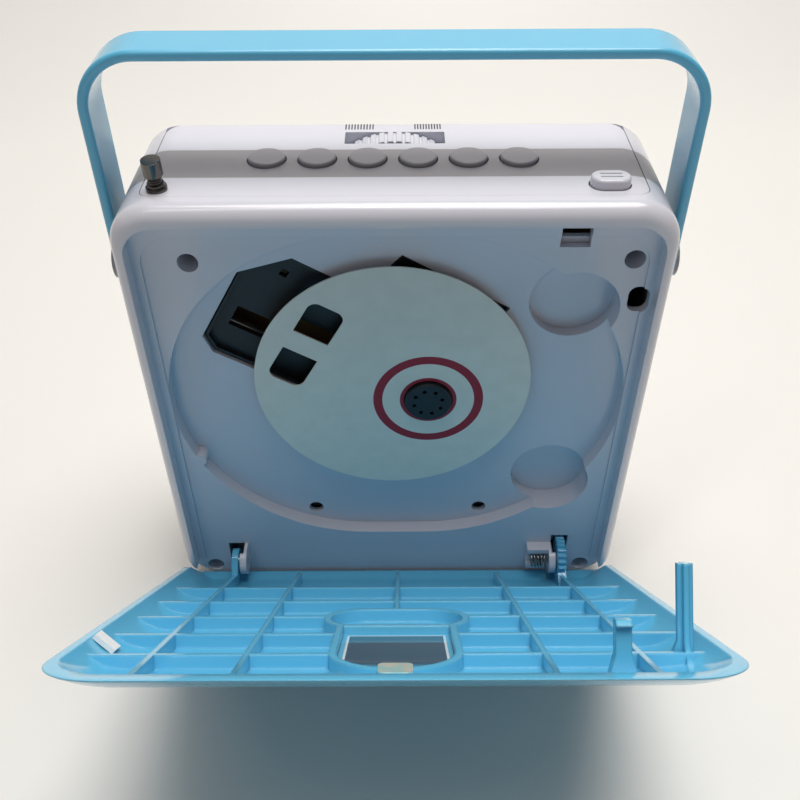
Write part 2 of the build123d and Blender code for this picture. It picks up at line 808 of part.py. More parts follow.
latch_top_z = flange_top - open_button_travel
latch_y = deck_back_y + seam_gap
latch_stem_rear_y = open_button_y + open_button_width / 2
with BuildPart() as latch_slider:
    with BuildSketch(upright(latch_y + latch_plate_thickness)):
        with Locations(((latch_plate_start + latch_plate_end) / 2, latch_top_z - latch_plate_height / 2)):
            Rectangle(latch_plate_end - latch_plate_start, latch_plate_height)
        with Locations((hook_x, latch_top_z - latch_plate_thickness - latch_window_height / 2)):
            Rectangle(latch_window_width, latch_window_height, mode=Mode.SUBTRACT)
    extrude(amount=latch_plate_thickness)
    with BuildSketch(Plane.XY.offset(latch_top_z)):
        with Locations((open_button_x, (latch_y + latch_stem_rear_y) / 2)):
            Rectangle(latch_stem_width, latch_stem_rear_y - latch_y)
    extrude(amount=-latch_plate_thickness)
latch_slider.part.label = "latch_slider"
export_step(latch_slider.part, "parts/latch_slider.step")

# Aerial: outer tube fixed in the cabinet, sections that slide out, and a knob with a waisted neck
aerial_steps = len(aerial_diameters)
with BuildPart() as aerial_base:
    with BuildSketch(aerial_plane):
        Circle(aerial_diameters[0] / 2)
        Circle(aerial_diameters[1] / 2 + running_gap, mode=Mode.SUBTRACT)
    extrude(amount=-aerial_length)
    with BuildSketch(aerial_plane):
        Circle(aerial_ring_radius)
        Circle(aerial_diameters[1] / 2 + running_gap, mode=Mode.SUBTRACT)
    extrude(amount=aerial_ring_height)
aerial_base.part.label = "aerial_base"
export_step(aerial_base.part, "parts/aerial_base.step")

for step in range(1, aerial_steps):
    section_top = aerial_ring_height + step * aerial_stagger
    with BuildPart() as aerial_section:
        with BuildSketch(aerial_plane.offset(section_top)):
            Circle(aerial_diameters[step] / 2)
            if step < aerial_steps - 1:
                Circle(aerial_diameters[step + 1] / 2 + running_gap, mode=Mode.SUBTRACT)
        extrude(amount=-(aerial_length - step * aerial_stagger))
        if step == aerial_steps - 1:
            knob_base = section_top + aerial_neck_height
            with BuildSketch(aerial_profile):
                with BuildLine():
                    Polyline(
                        (0, section_top),
                        (aerial_diameters[1] / 2, section_top),
                        (aerial_diameters[-1] / 2, knob_base),
                        (aerial_knob_radius, knob_base),
                        (aerial_knob_radius, knob_base + aerial_knob_height),
                        (0, knob_base + aerial_knob_height),
                        close=True,
                    )
                make_face()
            revolve(axis=Axis(aerial_plane.origin, aerial_plane.z_dir))
    aerial_section.part.label = f"aerial_section_{step}"
    export_step(aerial_section.part, f"parts/aerial_section_{step}.step")

# Tuning wheel, notched round its rim, and the tuning gang behind the deck that it turns
with BuildPart() as tuning_wheel:
    with BuildSketch(upright(wheel_y + wheel_thickness / 2)):
        with Locations((0, wheel_z)):
            Circle(wheel_radius)
            Circle(gang_shaft / 2, mode=Mode.SUBTRACT)
            with PolarLocations(wheel_radius, wheel_notches):
                Circle(wheel_notch_radius, mode=Mode.SUBTRACT)
    extrude(amount=wheel_thickness)
    with BuildSketch(upright(wheel_y - wheel_thickness / 2)):
        with Locations((0, wheel_z)):
            Circle(wheel_radius - 2 * wall)
            Circle(gang_shaft, mode=Mode.SUBTRACT)
    extrude(amount=-(wheel_thickness - wall), mode=Mode.SUBTRACT)
tuning_wheel.part.label = "tuning_wheel"
export_step(tuning_wheel.part, "parts/tuning_wheel.step")

main_board_y = wheel_y - wheel_thickness / 2 - gang_depth - seam_gap
with BuildPart() as tuning_gang:
    with BuildSketch(upright(main_board_y)):
        with Locations((0, wheel_z)):
            RectangleRounded(gang_size, gang_size, wall)
    extrude(amount=-gang_depth)
    with BuildSketch(upright(main_board_y + gang_depth)):
        with Locations((0, wheel_z)):
            Circle(gang_shaft / 2 - running_gap)
    extrude(amount=-(wheel_thickness + seam_gap))
tuning_gang.part.label = "tuning_gang"
export_step(tuning_gang.part, "parts/tuning_gang.step")

# Handle: flat band bent into a bail, with soft edges and a round end at each pivot
handle_inner = side_x + handle_gap
handle_half_width = handle_inner + handle_thickness
handle_rise = handle_top - handle_pivot_height
with BuildPart() as handle:
    with BuildSketch(upright(handle_width / 2)):
        with Locations((0, handle_pivot_height)):
            RectangleRounded(2 * handle_half_width, 2 * handle_rise, handle_corner)
            RectangleRounded(2 * handle_inner, 2 * (handle_rise - handle_thickness),
                             handle_corner - handle_thickness, mode=Mode.SUBTRACT)
        with Locations((0, handle_pivot_height)):
            Rectangle(2 * handle_half_width, handle_rise, align=(Align.CENTER, Align.MAX), mode=Mode.SUBTRACT)
    extrude(amount=handle_width)
    for side in (-1, 1):
        with BuildSketch(edge_on(side * handle_inner)):
            with Locations((0, handle_pivot_height)):
                Circle(handle_width / 2)
        extrude(amount=side * handle_thickness)
    fillet(handle.edges().filter_by(Axis.Y, reverse=True), handle_round)
    with BuildSketch(edge_on(-handle_half_width)):
        with Locations((0, handle_pivot_height)):
            Circle(handle_pivot_diameter / 2 + running_gap)
    extrude(amount=2 * handle_half_width, mode=Mode.SUBTRACT)
handle.part.label = "handle"
export_step(handle.part, "parts/handle.step")

with BuildPart() as handle_pivots:
    for side in (-1, 1):
        with BuildSketch(edge_on(side * (side_x - 3 * wall))):
            with Locations((0, handle_pivot_height)):
                Circle(handle_pivot_diameter / 2 + wall)
        extrude(amount=side * (wall - seam_gap))
        with BuildSketch(edge_on(side * (side_x - 3 * wall))):
            with Locations((0, handle_pivot_height)):
                Circle(handle_pivot_diameter / 2)
        extrude(amount=side * (handle_half_width + seam_gap - side_x + 3 * wall))
        with BuildSketch(edge_on(side * (handle_half_width + seam_gap))):
            with Locations((0, handle_pivot_height)):
                Circle(handle_cap_radius)
        extrude(amount=side * handle_cap_rise)
handle_pivots.part.label = "handle_pivots"
export_step(handle_pivots.part, "parts/handle_pivots.step")

# Lid: cushion-shaped moulding, hollow inside, with a grid of ribs, a window frame and hinge arms
lid_half = lid_width / 2
side_run = sqrt(lid_side_radius**2 - (lid_side_radius - lid_reach + lid_rim) ** 2)
end_run = sqrt(lid_end_radius**2 - (lid_end_radius - lid_reach + lid_rim) ** 2)
rib_top = lid_rim + rib_drop
lid_floor = lid_reach - lid_wall


def end_depth(v):
    """Depth of the middle of the lid's wall at a distance from the hinge line."""
    run = max(v - lid_length + end_run, 0)
    return lid_reach - lid_end_radius + sqrt((lid_end_radius - lid_wall / 2) ** 2 - run**2)


def lid_form(inset):
    """Solid cushion of the lid, drawn in evenly by an inset, from the rim plane to its flat face."""
    with BuildPart() as form:
        for step in range(lid_sections + 1):
            depth = lid_rim + (lid_reach - inset - lid_rim) * sin(radians(90 * step / lid_sections))
            side_drop = depth - lid_reach + lid_side_radius
            end_drop = depth - lid_reach + lid_end_radius
            half = lid_half - side_run + sqrt(max((lid_side_radius - inset) ** 2 - side_drop**2, 0))
            end = lid_length - end_run + sqrt(max((lid_end_radius - inset) ** 2 - end_drop**2, 0))
            corner = lid_corner_radius - lid_half + half
            start = -lid_reach - lid_corner_radius
            with BuildSketch(lid_face.offset(depth)):
                with Locations((0, (start + end) / 2)):
                    RectangleRounded(2 * half, end - start, corner)
        loft()
        # Round heel about the hinge line
        with BuildSketch(lid_side(-lid_half)):
            Circle(lid_reach - inset)
            with Locations((lid_length / 2, 0)):
                Rectangle(lid_length, 2 * (lid_reach - inset))
        extrude(amount=lid_width, mode=Mode.INTERSECT)
        with BuildSketch(lid_face):
            with Locations((0, lid_length / 2 + lid_heel_corner - lid_reach + inset)):
                RectangleRounded(lid_width - 2 * inset, lid_length + 2 * lid_heel_corner, lid_heel_corner)
        extrude(amount=lid_reach, mode=Mode.INTERSECT)
    return form.part


lid_outer = lid_form(0)
lid_inner = lid_form(lid_wall)
lid_core = lid_form(lid_wall / 2)
lens_hollow = lid_form(lid_wall + lens_thickness)


def window_outline(inset):
    """Draws the window frame's outline, straight at the hinge side and round at the free side."""
    half = frame_half_width - inset
    with Locations((0, (frame_start + inset + frame_centre) / 2)):
        Rectangle(2 * half, frame_centre - frame_start - inset)
    with Locations((0, frame_centre)):
        Circle(half)


def oval_outline(inset):
    """Draws the oval ring beside the window frame."""
    with Locations((0, (oval_start + oval_end) / 2)):
        RectangleRounded(2 * (oval_half_width - inset), oval_end - oval_start - 2 * inset,
                         (oval_end - oval_start) / 2 - inset - seam_gap)


with BuildPart() as lid_ribs:
    with BuildSketch(lid_face.offset(rib_top)):
        for x in long_ribs:
            with Locations((-x, lid_length / 2), (x, lid_length / 2)):
                Rectangle(rib_thickness, lid_length)
        with Locations((0, oval_start / 2)):
            Rectangle(rib_thickness, oval_start)
        with Locations(*[(0, v) for v in cross_ribs]):
            Rectangle(lid_width, rib_thickness)
        oval_outline(0)
        window_outline(0)
    extrude(amount=lid_reach - rib_top)
    with BuildSketch(lid_face.offset(rib_top)):
        oval_outline(frame_wall)
    extrude(amount=lid_reach - rib_top, mode=Mode.SUBTRACT)
    with BuildSketch(lid_face.offset(rib_top)):
        window_outline(0)
    extrude(amount=lid_reach - rib_top)
    with BuildSketch(lid_face.offset(rib_top)):
        window_outline(frame_wall)
    extrude(amount=lid_reach - rib_top, mode=Mode.SUBTRACT)
    add(lid_core, mode=Mode.INTERSECT)

with BuildPart() as lid:
    add(lid_outer)
    add(lid_inner, mode=Mode.SUBTRACT)
    # Rim stepped down at the heel, so that it passes under the cabinet
    with BuildSketch(lid_side(-lid_half)):
        with BuildLine():
            Polyline((-2 * lid_reach, -lid_rim), (-2 * lid_reach, lid_heel_rim),
                     (-lid_heel_start - lid_heel_ramp, lid_heel_rim), (-lid_heel_start, lid_rim),
                     (-lid_heel_start, -lid_rim), close=True)
        make_face()
    extrude(amount=lid_width, mode=Mode.SUBTRACT)
    add(lid_ribs.part)
    # Window opening, with a ledge for the lens
    with BuildSketch(lid_face.offset(lid_floor - lid_wall)):
        window_outline(frame_wall + window_ledge)
    extrude(amount=3 * lid_wall, mode=Mode.SUBTRACT)
    # Left arm: plain boss on a web
    with BuildSketch(lid_side(-arm_centre_x - arm_thickness / 2)):
        Circle(arm_boss_radius)
        with Locations((arm_boss_radius, lid_floor)):
            Circle(rib_thickness / 2)
        make_hull()
    extrude(amount=arm_thickness)
    # Right arm: toothed sector on a web
    sector_pitch = 360 / sector_teeth
    with BuildSketch(pivot_plane(arm_centre_x - sector_width / 2)):
        with BuildLine():
            points = gear_points(sector_teeth, gear_module, damper_direction + sector_pitch / 2,
                                 sector_first, sector_last)
            Polyline((0, 0), *points, close=True)
        make_face()
    extrude(amount=sector_width)
    with BuildSketch(lid_side(arm_centre_x - sector_width / 2)):
        Circle(arm_boss_radius)
        with Locations((pitch_radius, lid_floor)):
            Circle(rib_thickness / 2)
        with Locations((0, lid_floor)):
            Circle(rib_thickness / 2)
        make_hull()
    extrude(amount=sector_width)
    with BuildSketch(lid_side(-lid_half)):
        Circle(hinge_pin_diameter / 2 + running_gap)
    extrude(amount=lid_width, mode=Mode.SUBTRACT)
    # Latch hook with a gusset at its foot
    hook_tip = lid_rim - hook_reach
    hook_near = hook_v - hook_thickness / 2
    hook_far = hook_v + hook_thickness / 2
    with BuildSketch(lid_side(hook_x - hook_width / 2)):
        with BuildLine():
            Polyline((hook_near, end_depth(hook_near)), (hook_near, hook_tip), (hook_far, hook_tip),
                     (hook_far + hook_nose, hook_tip + hook_nose), (hook_far, hook_tip + hook_nose),
                     (hook_far, end_depth(hook_far)), close=True)
        make_face()
    extrude(amount=hook_width)
    with BuildSketch(lid_side(hook_x - rib_thickness / 2)):
        with BuildLine():
            Polyline((hook_near - hook_flare, end_depth(hook_near - hook_flare)),
                     (hook_v, end_depth(hook_v)), (hook_v, rib_top - hook_flare),
                     (hook_near, rib_top - hook_flare), close=True)
        make_face()
    extrude(amount=rib_thickness)
    with BuildSketch(lid_across(hook_far)):
        with BuildLine():
            Polyline((hook_x - hook_width / 2 - hook_spread, end_depth(hook_far)),
                     (hook_x - hook_width / 2, rib_top - hook_flare),
                     (hook_x + hook_width / 2, rib_top - hook_flare),
                     (hook_x + hook_width / 2 + hook_spread, end_depth(hook_far)), close=True)
        make_face()
    extrude(amount=hook_thickness)
    # Interlock pin of cross section, with gussets at its foot
    with BuildSketch(lid_face.offset(lid_rim - pin_reach)):
        with Locations((pin_x, pin_v)):
            Rectangle(pin_span, pin_blade)
            Rectangle(pin_blade, pin_span)
    extrude(amount=lid_floor - lid_rim + pin_reach)
    with BuildSketch(lid_side(pin_x - pin_blade / 2)):
        with BuildLine():
            Polyline((pin_v - pin_span / 2 - pin_gusset, lid_floor), (pin_v - pin_span / 2, rib_top - pin_gusset),
                     (pin_v + pin_span / 2, rib_top - pin_gusset), (pin_v + pin_span / 2 + pin_gusset, lid_floor),
                     close=True)
        make_face()
    extrude(amount=pin_blade)
    with BuildSketch(lid_across(pin_v + pin_blade / 2)):
        with BuildLine():
            Polyline((pin_x - pin_span / 2 - pin_gusset, lid_floor), (pin_x - pin_span / 2, rib_top - pin_gusset),
                     (pin_x, rib_top - pin_gusset), (pin_x, lid_floor), close=True)
        make_face()
    extrude(amount=pin_blade)
lid.part.label = "lid"
export_step(lid.part, "parts/lid.step")

with BuildPart() as lid_window:
    with BuildSketch(lid_face.offset(rib_top)):
        window_outline(frame_wall + running_gap)
    extrude(amount=lid_floor - rib_top)
    add(lid_inner, mode=Mode.INTERSECT)
    add(lens_hollow, mode=Mode.SUBTRACT)
lid_window.part.label = "lid_window"
export_step(lid_window.part, "parts/lid_window.step")

# Foam pad stuck on the curved inside of the lid's left wall
pad_reach = sqrt((lid_side_radius - lid_wall) ** 2 - (pad_length / 2) ** 2) - pad_thickness / 2 - running_gap
pad_x = lid_half - side_run + pad_reach * sin(radians(pad_turn))
pad_depth = lid_reach - lid_side_radius + pad_reach * cos(radians(pad_turn))
with BuildPart() as lid_foam_pad:
    with BuildSketch(lid_across(pad_v)):
        with Locations((-pad_x, pad_depth)):
            Rectangle(pad_length, pad_thickness, rotation=pad_turn)
    extrude(amount=pad_width)
lid_foam_pad.part.label = "lid_foam_pad"
export_step(lid_foam_pad.part, "parts/lid_foam_pad.step")

with BuildPart() as window_tab:
    with BuildSketch(lid_face.offset(rib_top - tab_thickness)):
        with Locations((0, tab_v)):
            RectangleRounded(tab_width, tab_length, rib_thickness)
    extrude(amount=tab_thickness)
window_tab.part.label = "window_tab"
export_step(window_tab.part, "parts/window_tab.step")

# Hinge pins, pressed in the ears and running in the lid's arms
with BuildPart() as hinge_pins:
    for side in (-1, 1):
        with BuildSketch(pivot_plane(side * (ear_x - ear_thickness / 2))):
            Circle(hinge_pin_diameter / 2)
        extrude(amount=side * (arm_centre_x + sector_width / 2 + seam_gap - ear_x + ear_thickness / 2))
hinge_pins.part.label = "hinge_pins"
export_step(hinge_pins.part, "parts/hinge_pins.step")

# Torsion spring in its block: close coils and a leg towards the lid
spring_length = spring_block_width - 2 * spring_side_gap
spring_pitch = (spring_length - spring_wire) / (spring_quarters / 4)
spring_start_x = block_start + spring_side_gap + spring_wire / 2
leg_angle = 90 + open_angle
first_angle = radians(leg_angle - 90 * spring_quarters)
spring_plane = Plane(origin=(spring_start_x, hinge_y, hinge_z), x_dir=(0, cos(first_angle), sin(first_angle)),
                     z_dir=(1, 0, 0))
coil = spring_plane * Helix(spring_pitch, spring_pitch * spring_quarters / 4, spring_coil_radius)
spring_path = coil + Line(coil @ 1, coil @ 1 + coil % 1 * spring_leg)
with BuildPart() as lid_spring:
    with BuildSketch(Plane(origin=coil @ 0, z_dir=coil % 0)):
        Circle(spring_wire / 2)
    sweep(path=spring_path, is_frenet=True)
lid_spring.part.label = "lid_spring"
export_step(lid_spring.part, "parts/lid_spring.step")
spring_points = [coil @ (n / spring_samples) for n in range(spring_samples + 1)]
half_turn = round(2 * spring_samples / spring_quarters)
least = min((one - other).length for n, one in enumerate(spring_points) for other in spring_points[n + half_turn:])
print("spring gap between turns", round(least - spring_wire, 2))

# Damper: small gear meshing with the lid's toothed sector, on a round housing behind the deck
damper_distance = gear_module * (sector_teeth + damper_teeth) / 2
damper_y = hinge_y + damper_distance * cos(radians(damper_direction))
damper_z = hinge_z + damper_distance * sin(radians(damper_direction))
damper_start_x = arm_centre_x - damper_gear_width / 2


def damper_plane(x):
    """Plane square to the damper's shaft at a place along it, with its origin on the shaft."""
    return Plane(origin=(x, damper_y, damper_z), x_dir=(0, 1, 0), z_dir=(1, 0, 0))


with BuildPart() as damper_gear:
    with BuildSketch(damper_plane(damper_start_x)):
        with BuildLine():
            Polyline(*gear_points(damper_teeth, gear_module, damper_direction + 180, 0, damper_teeth - 1),
                     close=True)
        make_face()
        Circle(motor_shaft / 2 + running_gap, mode=Mode.SUBTRACT)
    extrude(amount=damper_gear_width)
damper_gear.part.label = "damper_gear"
export_step(damper_gear.part, "parts/damper_gear.step")

with BuildPart() as damper_body:
    with BuildSketch(damper_plane(damper_start_x - seam_gap)):
        Circle(damper_body_radius)
    extrude(amount=-damper_body_length)
    with BuildSketch(damper_plane(damper_start_x - seam_gap)):
        Circle(motor_shaft / 2)
    extrude(amount=damper_gear_width + 2 * seam_gap)
    with BuildSketch(damper_plane(damper_start_x - seam_gap - damper_body_length)):
        with Locations(((deck_back_y - damper_y) / 2, 0)):
            Rectangle(damper_y - deck_back_y, 2 * damper_body_radius)
    extrude(amount=wall)
damper_body.part.label = "damper_body"
export_step(damper_body.part, "parts/damper_body.step")

# Switch behind the deck that the interlock pin presses, seated on the back of a finger recess
recess_back_y = well_floor_y + recess_depth + well_wall
pin_tip_y = hinge_y - lid_rim + pin_reach
switch_end_x = recess_x + recess_radius + well_wall - seam_gap
with BuildPart() as interlock_switch:
    with BuildSketch(upright(recess_back_y + interlock_switch_depth)):
        with Locations((switch_end_x - interlock_switch_length / 2, interlock_z)):
            Rectangle(interlock_switch_length, interlock_switch_height)
    extrude(amount=interlock_switch_depth)
    with BuildSketch(upright(pin_tip_y + seam_gap + interlock_lever_thickness)):
        with Locations((switch_end_x + interlock_lever / 2, interlock_z)):
            Rectangle(interlock_lever, pin_span)
    extrude(amount=interlock_lever_thickness)
interlock_switch.part.label = "interlock_switch"
export_step(interlock_switch.part, "parts/interlock_switch.step")

# Disc drive: chassis hung on grommets behind the well, with a slot for the pickup
chassis_y = well_back_y + chassis_gap
chassis_back_y = chassis_y + chassis_thickness
rod_y = chassis_back_y + rod_drop
with BuildPart() as cd_chassis:
    with BuildSketch(drive_plane(chassis_back_y)):
        with BuildLine():
            Polyline(*pickup_opening, close=True)
        make_face()
        offset(amount=chassis_margin)
        with Locations(*grommet_places):
            Circle(grommet_radius + grommet_tab)
        with Locations(*grommet_places):
            Circle(grommet_radius, mode=Mode.SUBTRACT)
        for start, end, low, high in (tower_slot, end_slot):
            with Locations(((start + end) / 2, (low + high) / 2)):
                Rectangle(end - start, high - low, mode=Mode.SUBTRACT)
        with Locations(chassis_square_place):
            Rectangle(chassis_square, chassis_square, mode=Mode.SUBTRACT)
        Circle(motor_shaft, mode=Mode.SUBTRACT)
        with Locations(sled_motor_place):
            Circle(motor_shaft, mode=Mode.SUBTRACT)
    extrude(amount=chassis_thickness)
    # Rim that stands up in the well's opening
    with BuildSketch(drive_plane(chassis_y)):
        with BuildLine():
            Polyline(*pickup_opening, close=True)
        make_face()
        offset(amount=-chassis_gap)
        offset(amount=-chassis_rim_width, mode=Mode.SUBTRACT)
    extrude(amount=chassis_rim_height)
    # Clips that hold the guide rods
    with BuildSketch(drive_plane(rod_y + rod_diameter)):
        for u in (rod_start + rod_clip / 2, rod_end - rod_clip / 2):
            with Locations((u, -rod_spread), (u, rod_spread)):
                Rectangle(rod_clip, 2 * rod_diameter)
    extrude(amount=rod_y + rod_diameter - chassis_back_y)
    with BuildSketch(rod_section(rod_start)):
        with Locations((-rod_spread, rod_y), (rod_spread, rod_y)):
            Circle(rod_diameter / 2)
    extrude(amount=rod_end - rod_start, mode=Mode.SUBTRACT)
cd_chassis.part.label = "cd_chassis"
export_step(cd_chassis.part, "parts/cd_chassis.step")

with BuildPart() as mech_grommets:
    with BuildSketch(drive_plane(well_back_y + grommet_length)):
        with Locations(*grommet_places):
            Circle(grommet_radius)
    extrude(amount=grommet_length)
mech_grommets.part.label = "mech_grommets"
export_step(mech_grommets.part, "parts/mech_grommets.step")

with BuildPart() as guide_rods:
    with BuildSketch(rod_section(rod_start)):
        with Locations((-rod_spread, rod_y), (rod_spread, rod_y)):
            Circle(rod_diameter / 2)
    extrude(amount=rod_end - rod_start)
guide_rods.part.label = "guide_rods"
export_step(guide_rods.part, "parts/guide_rods.step")

# Pickup sled that runs on the rods behind the chassis, with the lens on a tower in the chassis slot
sled_y = chassis_back_y + chassis_gap
tower_y = chassis_y - tower_rise
with BuildPart() as pickup_sled:
    with BuildSketch(drive_plane(sled_y + sled_thickness)):
        with Locations((sled_home, 0)):
            RectangleRounded(sled_length, sled_width, rod_diameter)
    extrude(amount=sled_thickness)
    with BuildSketch(rod_section(rod_start)):
        with Locations((-rod_spread, rod_y), (rod_spread, rod_y)):
            Circle(rod_diameter / 2 + running_gap)
    extrude(amount=rod_end - rod_start, mode=Mode.SUBTRACT)
    with BuildSketch(drive_plane(sled_y)):
        with Locations((sled_home, 0)):
            Circle(lens_diameter / 2 + tower_wall)
    extrude(amount=sled_y - tower_y)
    with BuildSketch(drive_plane(tower_y)):
        with Locations((sled_home, 0)):
            Circle(lens_diameter / 2)
    extrude(amount=-lens_rise, mode=Mode.SUBTRACT)
pickup_sled.part.label = "pickup_sled"
export_step(pickup_sled.part, "parts/pickup_sled.step")

with BuildPart() as pickup_lens:
    with BuildSketch(drive_plane(tower_y + lens_rise)):
        with Locations((sled_home, 0)):
            Circle(lens_diameter / 2)
    extrude(amount=lens_rise)
    fillet(pickup_lens.faces().sort_by(Axis.Y)[0].edges(), lens_rise / 2)
pickup_lens.part.label = "pickup_lens"
export_step(pickup_lens.part, "parts/pickup_lens.step")

# Turntable with the disc hub, on the spindle motor's shaft
disc_y = front_y + disc_plane
with BuildPart() as turntable_hub:
    with BuildSketch(drive_plane(disc_y + turntable_thickness)):
        Circle(turntable_radius)
    extrude(amount=turntable_thickness)
    with BuildSketch(drive_plane(disc_y)):
        Circle(hub_diameter / 2)
    extrude(amount=disc_plane - hub_front)
    fillet(turntable_hub.faces().sort_by(Axis.Y)[0].edges(), hub_round)
    with BuildSketch(drive_plane(front_y + hub_front)):
        with PolarLocations(hub_hole_circle, hub_pips):
            Circle(hub_pip_diameter / 2)
    extrude(amount=-turntable_thickness, mode=Mode.SUBTRACT)
    with BuildSketch(drive_plane(disc_y + turntable_thickness)):
        Circle(motor_shaft / 2)
    extrude(amount=-(chassis_back_y + motor_length / 2 - disc_y - turntable_thickness))
turntable_hub.part.label = "turntable_hub"
export_step(turntable_hub.part, "parts/turntable_hub.step")

with BuildPart() as spindle_motor:
    with BuildSketch(drive_plane(chassis_back_y + motor_length)):
        Circle(motor_radius)
    extrude(amount=motor_length)
    with BuildSketch(drive_plane(chassis_back_y)):
        Circle(motor_shaft / 2 + running_gap)
    extrude(amount=-(motor_length / 2 + running_gap), mode=Mode.SUBTRACT)
spindle_motor.part.label = "spindle_motor"
export_step(spindle_motor.part, "parts/spindle_motor.step")

with BuildPart() as sled_motor:
    with BuildSketch(drive_plane(chassis_back_y + sled_motor_length)):
        with Locations(sled_motor_place):
            Circle(sled_motor_radius)
    extrude(amount=sled_motor_length)
sled_motor.part.label = "sled_motor"
export_step(sled_motor.part, "parts/sled_motor.step")

# Card put over the hub for transport, with two cut-outs
with BuildPart() as protective_card:
    with BuildSketch(drive_plane(disc_y)):
        with Locations((card_shift, 0)):
            Circle(card_diameter / 2)
        Circle(hub_diameter / 2 + card_hole_gap, mode=Mode.SUBTRACT)
        # Cut-outs with their outer corners rounded
        for side in (-1, 1):
            with Locations((card_window_reach, side * card_window_spread)):
                RectangleRounded(card_window_length, card_window_width, card_window_round, mode=Mode.SUBTRACT)
            with Locations((card_window_reach, side * (card_window_spread - card_window_width / 4))):
                Rectangle(card_window_length, card_window_width / 2, mode=Mode.SUBTRACT)
    extrude(amount=card_thickness)
protective_card.part.label = "protective_card"
export_step(protective_card.part, "parts/protective_card.step")

# Speakers behind the grilles: dished frames with magnets, and paper cones
speaker_back_y = rear_y - wall - speaker_depth
with BuildPart() as speaker_frames:
    for side in (-1, 1):
        with BuildSketch(speaker_section(side)):
            with BuildLine():
                Polyline((0, speaker_back_y - magnet_depth), (magnet_radius, speaker_back_y - magnet_depth),
                         (magnet_radius, speaker_back_y), (speaker_radius, rear_y - wall - speaker_lip),
                         (speaker_radius, rear_y - wall), (speaker_radius - speaker_lip, rear_y - wall),
                         (speaker_radius - speaker_lip, rear_y - wall - speaker_lip + speaker_web),
                         (magnet_radius - speaker_web, speaker_back_y + speaker_web),
                         (0, speaker_back_y + speaker_web), close=True)
            make_face()
        revolve(axis=Axis((side * speaker_x, 0, grille_z), (0, 1, 0)))
speaker_frames.part.label = "speaker_frames"
export_step(speaker_frames.part, "parts/speaker_frames.step")

with BuildPart() as speaker_cones:
    for side in (-1, 1):
        with BuildSketch(speaker_section(side)):
            with BuildLine():
                rim = speaker_radius - speaker_lip - seam_gap
                cone_y = speaker_back_y + speaker_web + 2 * speaker_lip
                Polyline((0, cone_y - cone_thickness), (dust_cap_radius, cone_y - cone_thickness),
                         (rim, rear_y - wall - speaker_lip + speaker_web),
                         (rim, rear_y - wall - speaker_lip + speaker_web + cone_thickness),
                         (dust_cap_radius, cone_y), (0, cone_y + speaker_lip), close=True)
            make_face()
        revolve(axis=Axis((side * speaker_x, 0, grille_z), (0, 1, 0)))
speaker_cones.part.label = "speaker_cones"
export_step(speaker_cones.part, "parts/speaker_cones.step")

# Main board, held on the upper case posts, and the mains transformer on the rear wall
with BuildPart() as main_board:
    with BuildSketch(upright(main_board_y)):
        with Locations(((main_board_left + main_board_right) / 2, (main_board_bottom + main_board_top) / 2)):
            Rectangle(main_board_right - main_board_left, main_board_top - main_board_bottom)
        with Locations(*screw_points[:2]):
            Circle(post_radius, mode=Mode.SUBTRACT)
        with Locations((side_x - 3 * wall, handle_pivot_height)):
            Circle(handle_pivot_diameter / 2 + 2 * wall, mode=Mode.SUBTRACT)
    extrude(amount=board_thickness)
main_board.part.label = "main_board"
export_step(main_board.part, "parts/main_board.step")

with BuildPart() as transformer:
    with BuildSketch(upright(rear_y - wall)):
        with Locations(transformer_place):
            Rectangle(transformer_size[0], transformer_size[2])
    extrude(amount=transformer_size[1])
    fillet(transformer.edges().filter_by(Axis.Y), wall)
transformer.part.label = "transformer"
export_step(transformer.part, "parts/transformer.step")

# Battery box open at the base, its contacts and its door
door_y = front_y + door_depth
door_top_z = bottom_z + door_thickness
with BuildPart() as battery_box:
    with BuildSketch(Plane.XY.offset(bottom_z + wall)):
        with Locations((0, door_y)):
            Rectangle(door_length + 2 * battery_box_wall, door_width + 2 * battery_box_wall)
    extrude(amount=battery_box_height)
    with BuildSketch(Plane.XY.offset(bottom_z + wall)):
        with Locations((0, door_y)):
            Rectangle(door_length, door_width)
    extrude(amount=battery_box_height - battery_box_wall, mode=Mode.SUBTRACT)
battery_box.part.label = "battery_box"
export_step(battery_box.part, "parts/battery_box.step")

with BuildPart() as battery_contacts:
    for side in (-1, 1):
        with BuildSketch(edge_on(side * door_length / 2)):
            with Locations((door_y, door_top_z + door_thickness + contact_height / 2)):
                Rectangle(contact_width, contact_height)
        extrude(amount=-side * contact_thickness)
battery_contacts.part.label = "battery_contacts"
export_step(battery_contacts.part, "parts/battery_contacts.step")

with BuildPart() as battery_door:
    with BuildSketch(Plane.XY.offset(bottom_z)):
        with Locations((0, door_y)):
            Rectangle(door_length - 2 * door_gap, door_width - 2 * door_gap)
    extrude(amount=door_thickness)
battery_door.part.label = "battery_door"
export_step(battery_door.part, "parts/battery_door.step")

# Rubber feet
with BuildPart() as feet:
    with BuildSketch(Plane.XY):
        with GridLocations(cabinet_width - 2 * foot_inset, cabinet_depth - 2 * foot_inset, 2, 2):
            Circle(foot_radius)
    extrude(amount=foot_height)
    fillet(feet.faces().sort_by(Axis.Z)[:4].edges(), foot_height / 4)
feet.part.label = "feet"
export_step(feet.part, "parts/feet.step")

# Volume wheel at one side, on its control
volume_x = side_x + volume_out - volume_radius
with BuildPart() as volume_wheel:
    with BuildSketch(upright(volume_y + volume_thickness / 2)):
        with Locations((volume_x, volume_z)):
            Circle(volume_radius)
            Circle(volume_shaft / 2, mode=Mode.SUBTRACT)
            with PolarLocations(volume_radius, volume_notches):
                Circle(wheel_notch_radius, mode=Mode.SUBTRACT)
    extrude(amount=volume_thickness)
volume_wheel.part.label = "volume_wheel"
export_step(volume_wheel.part, "parts/volume_wheel.step")

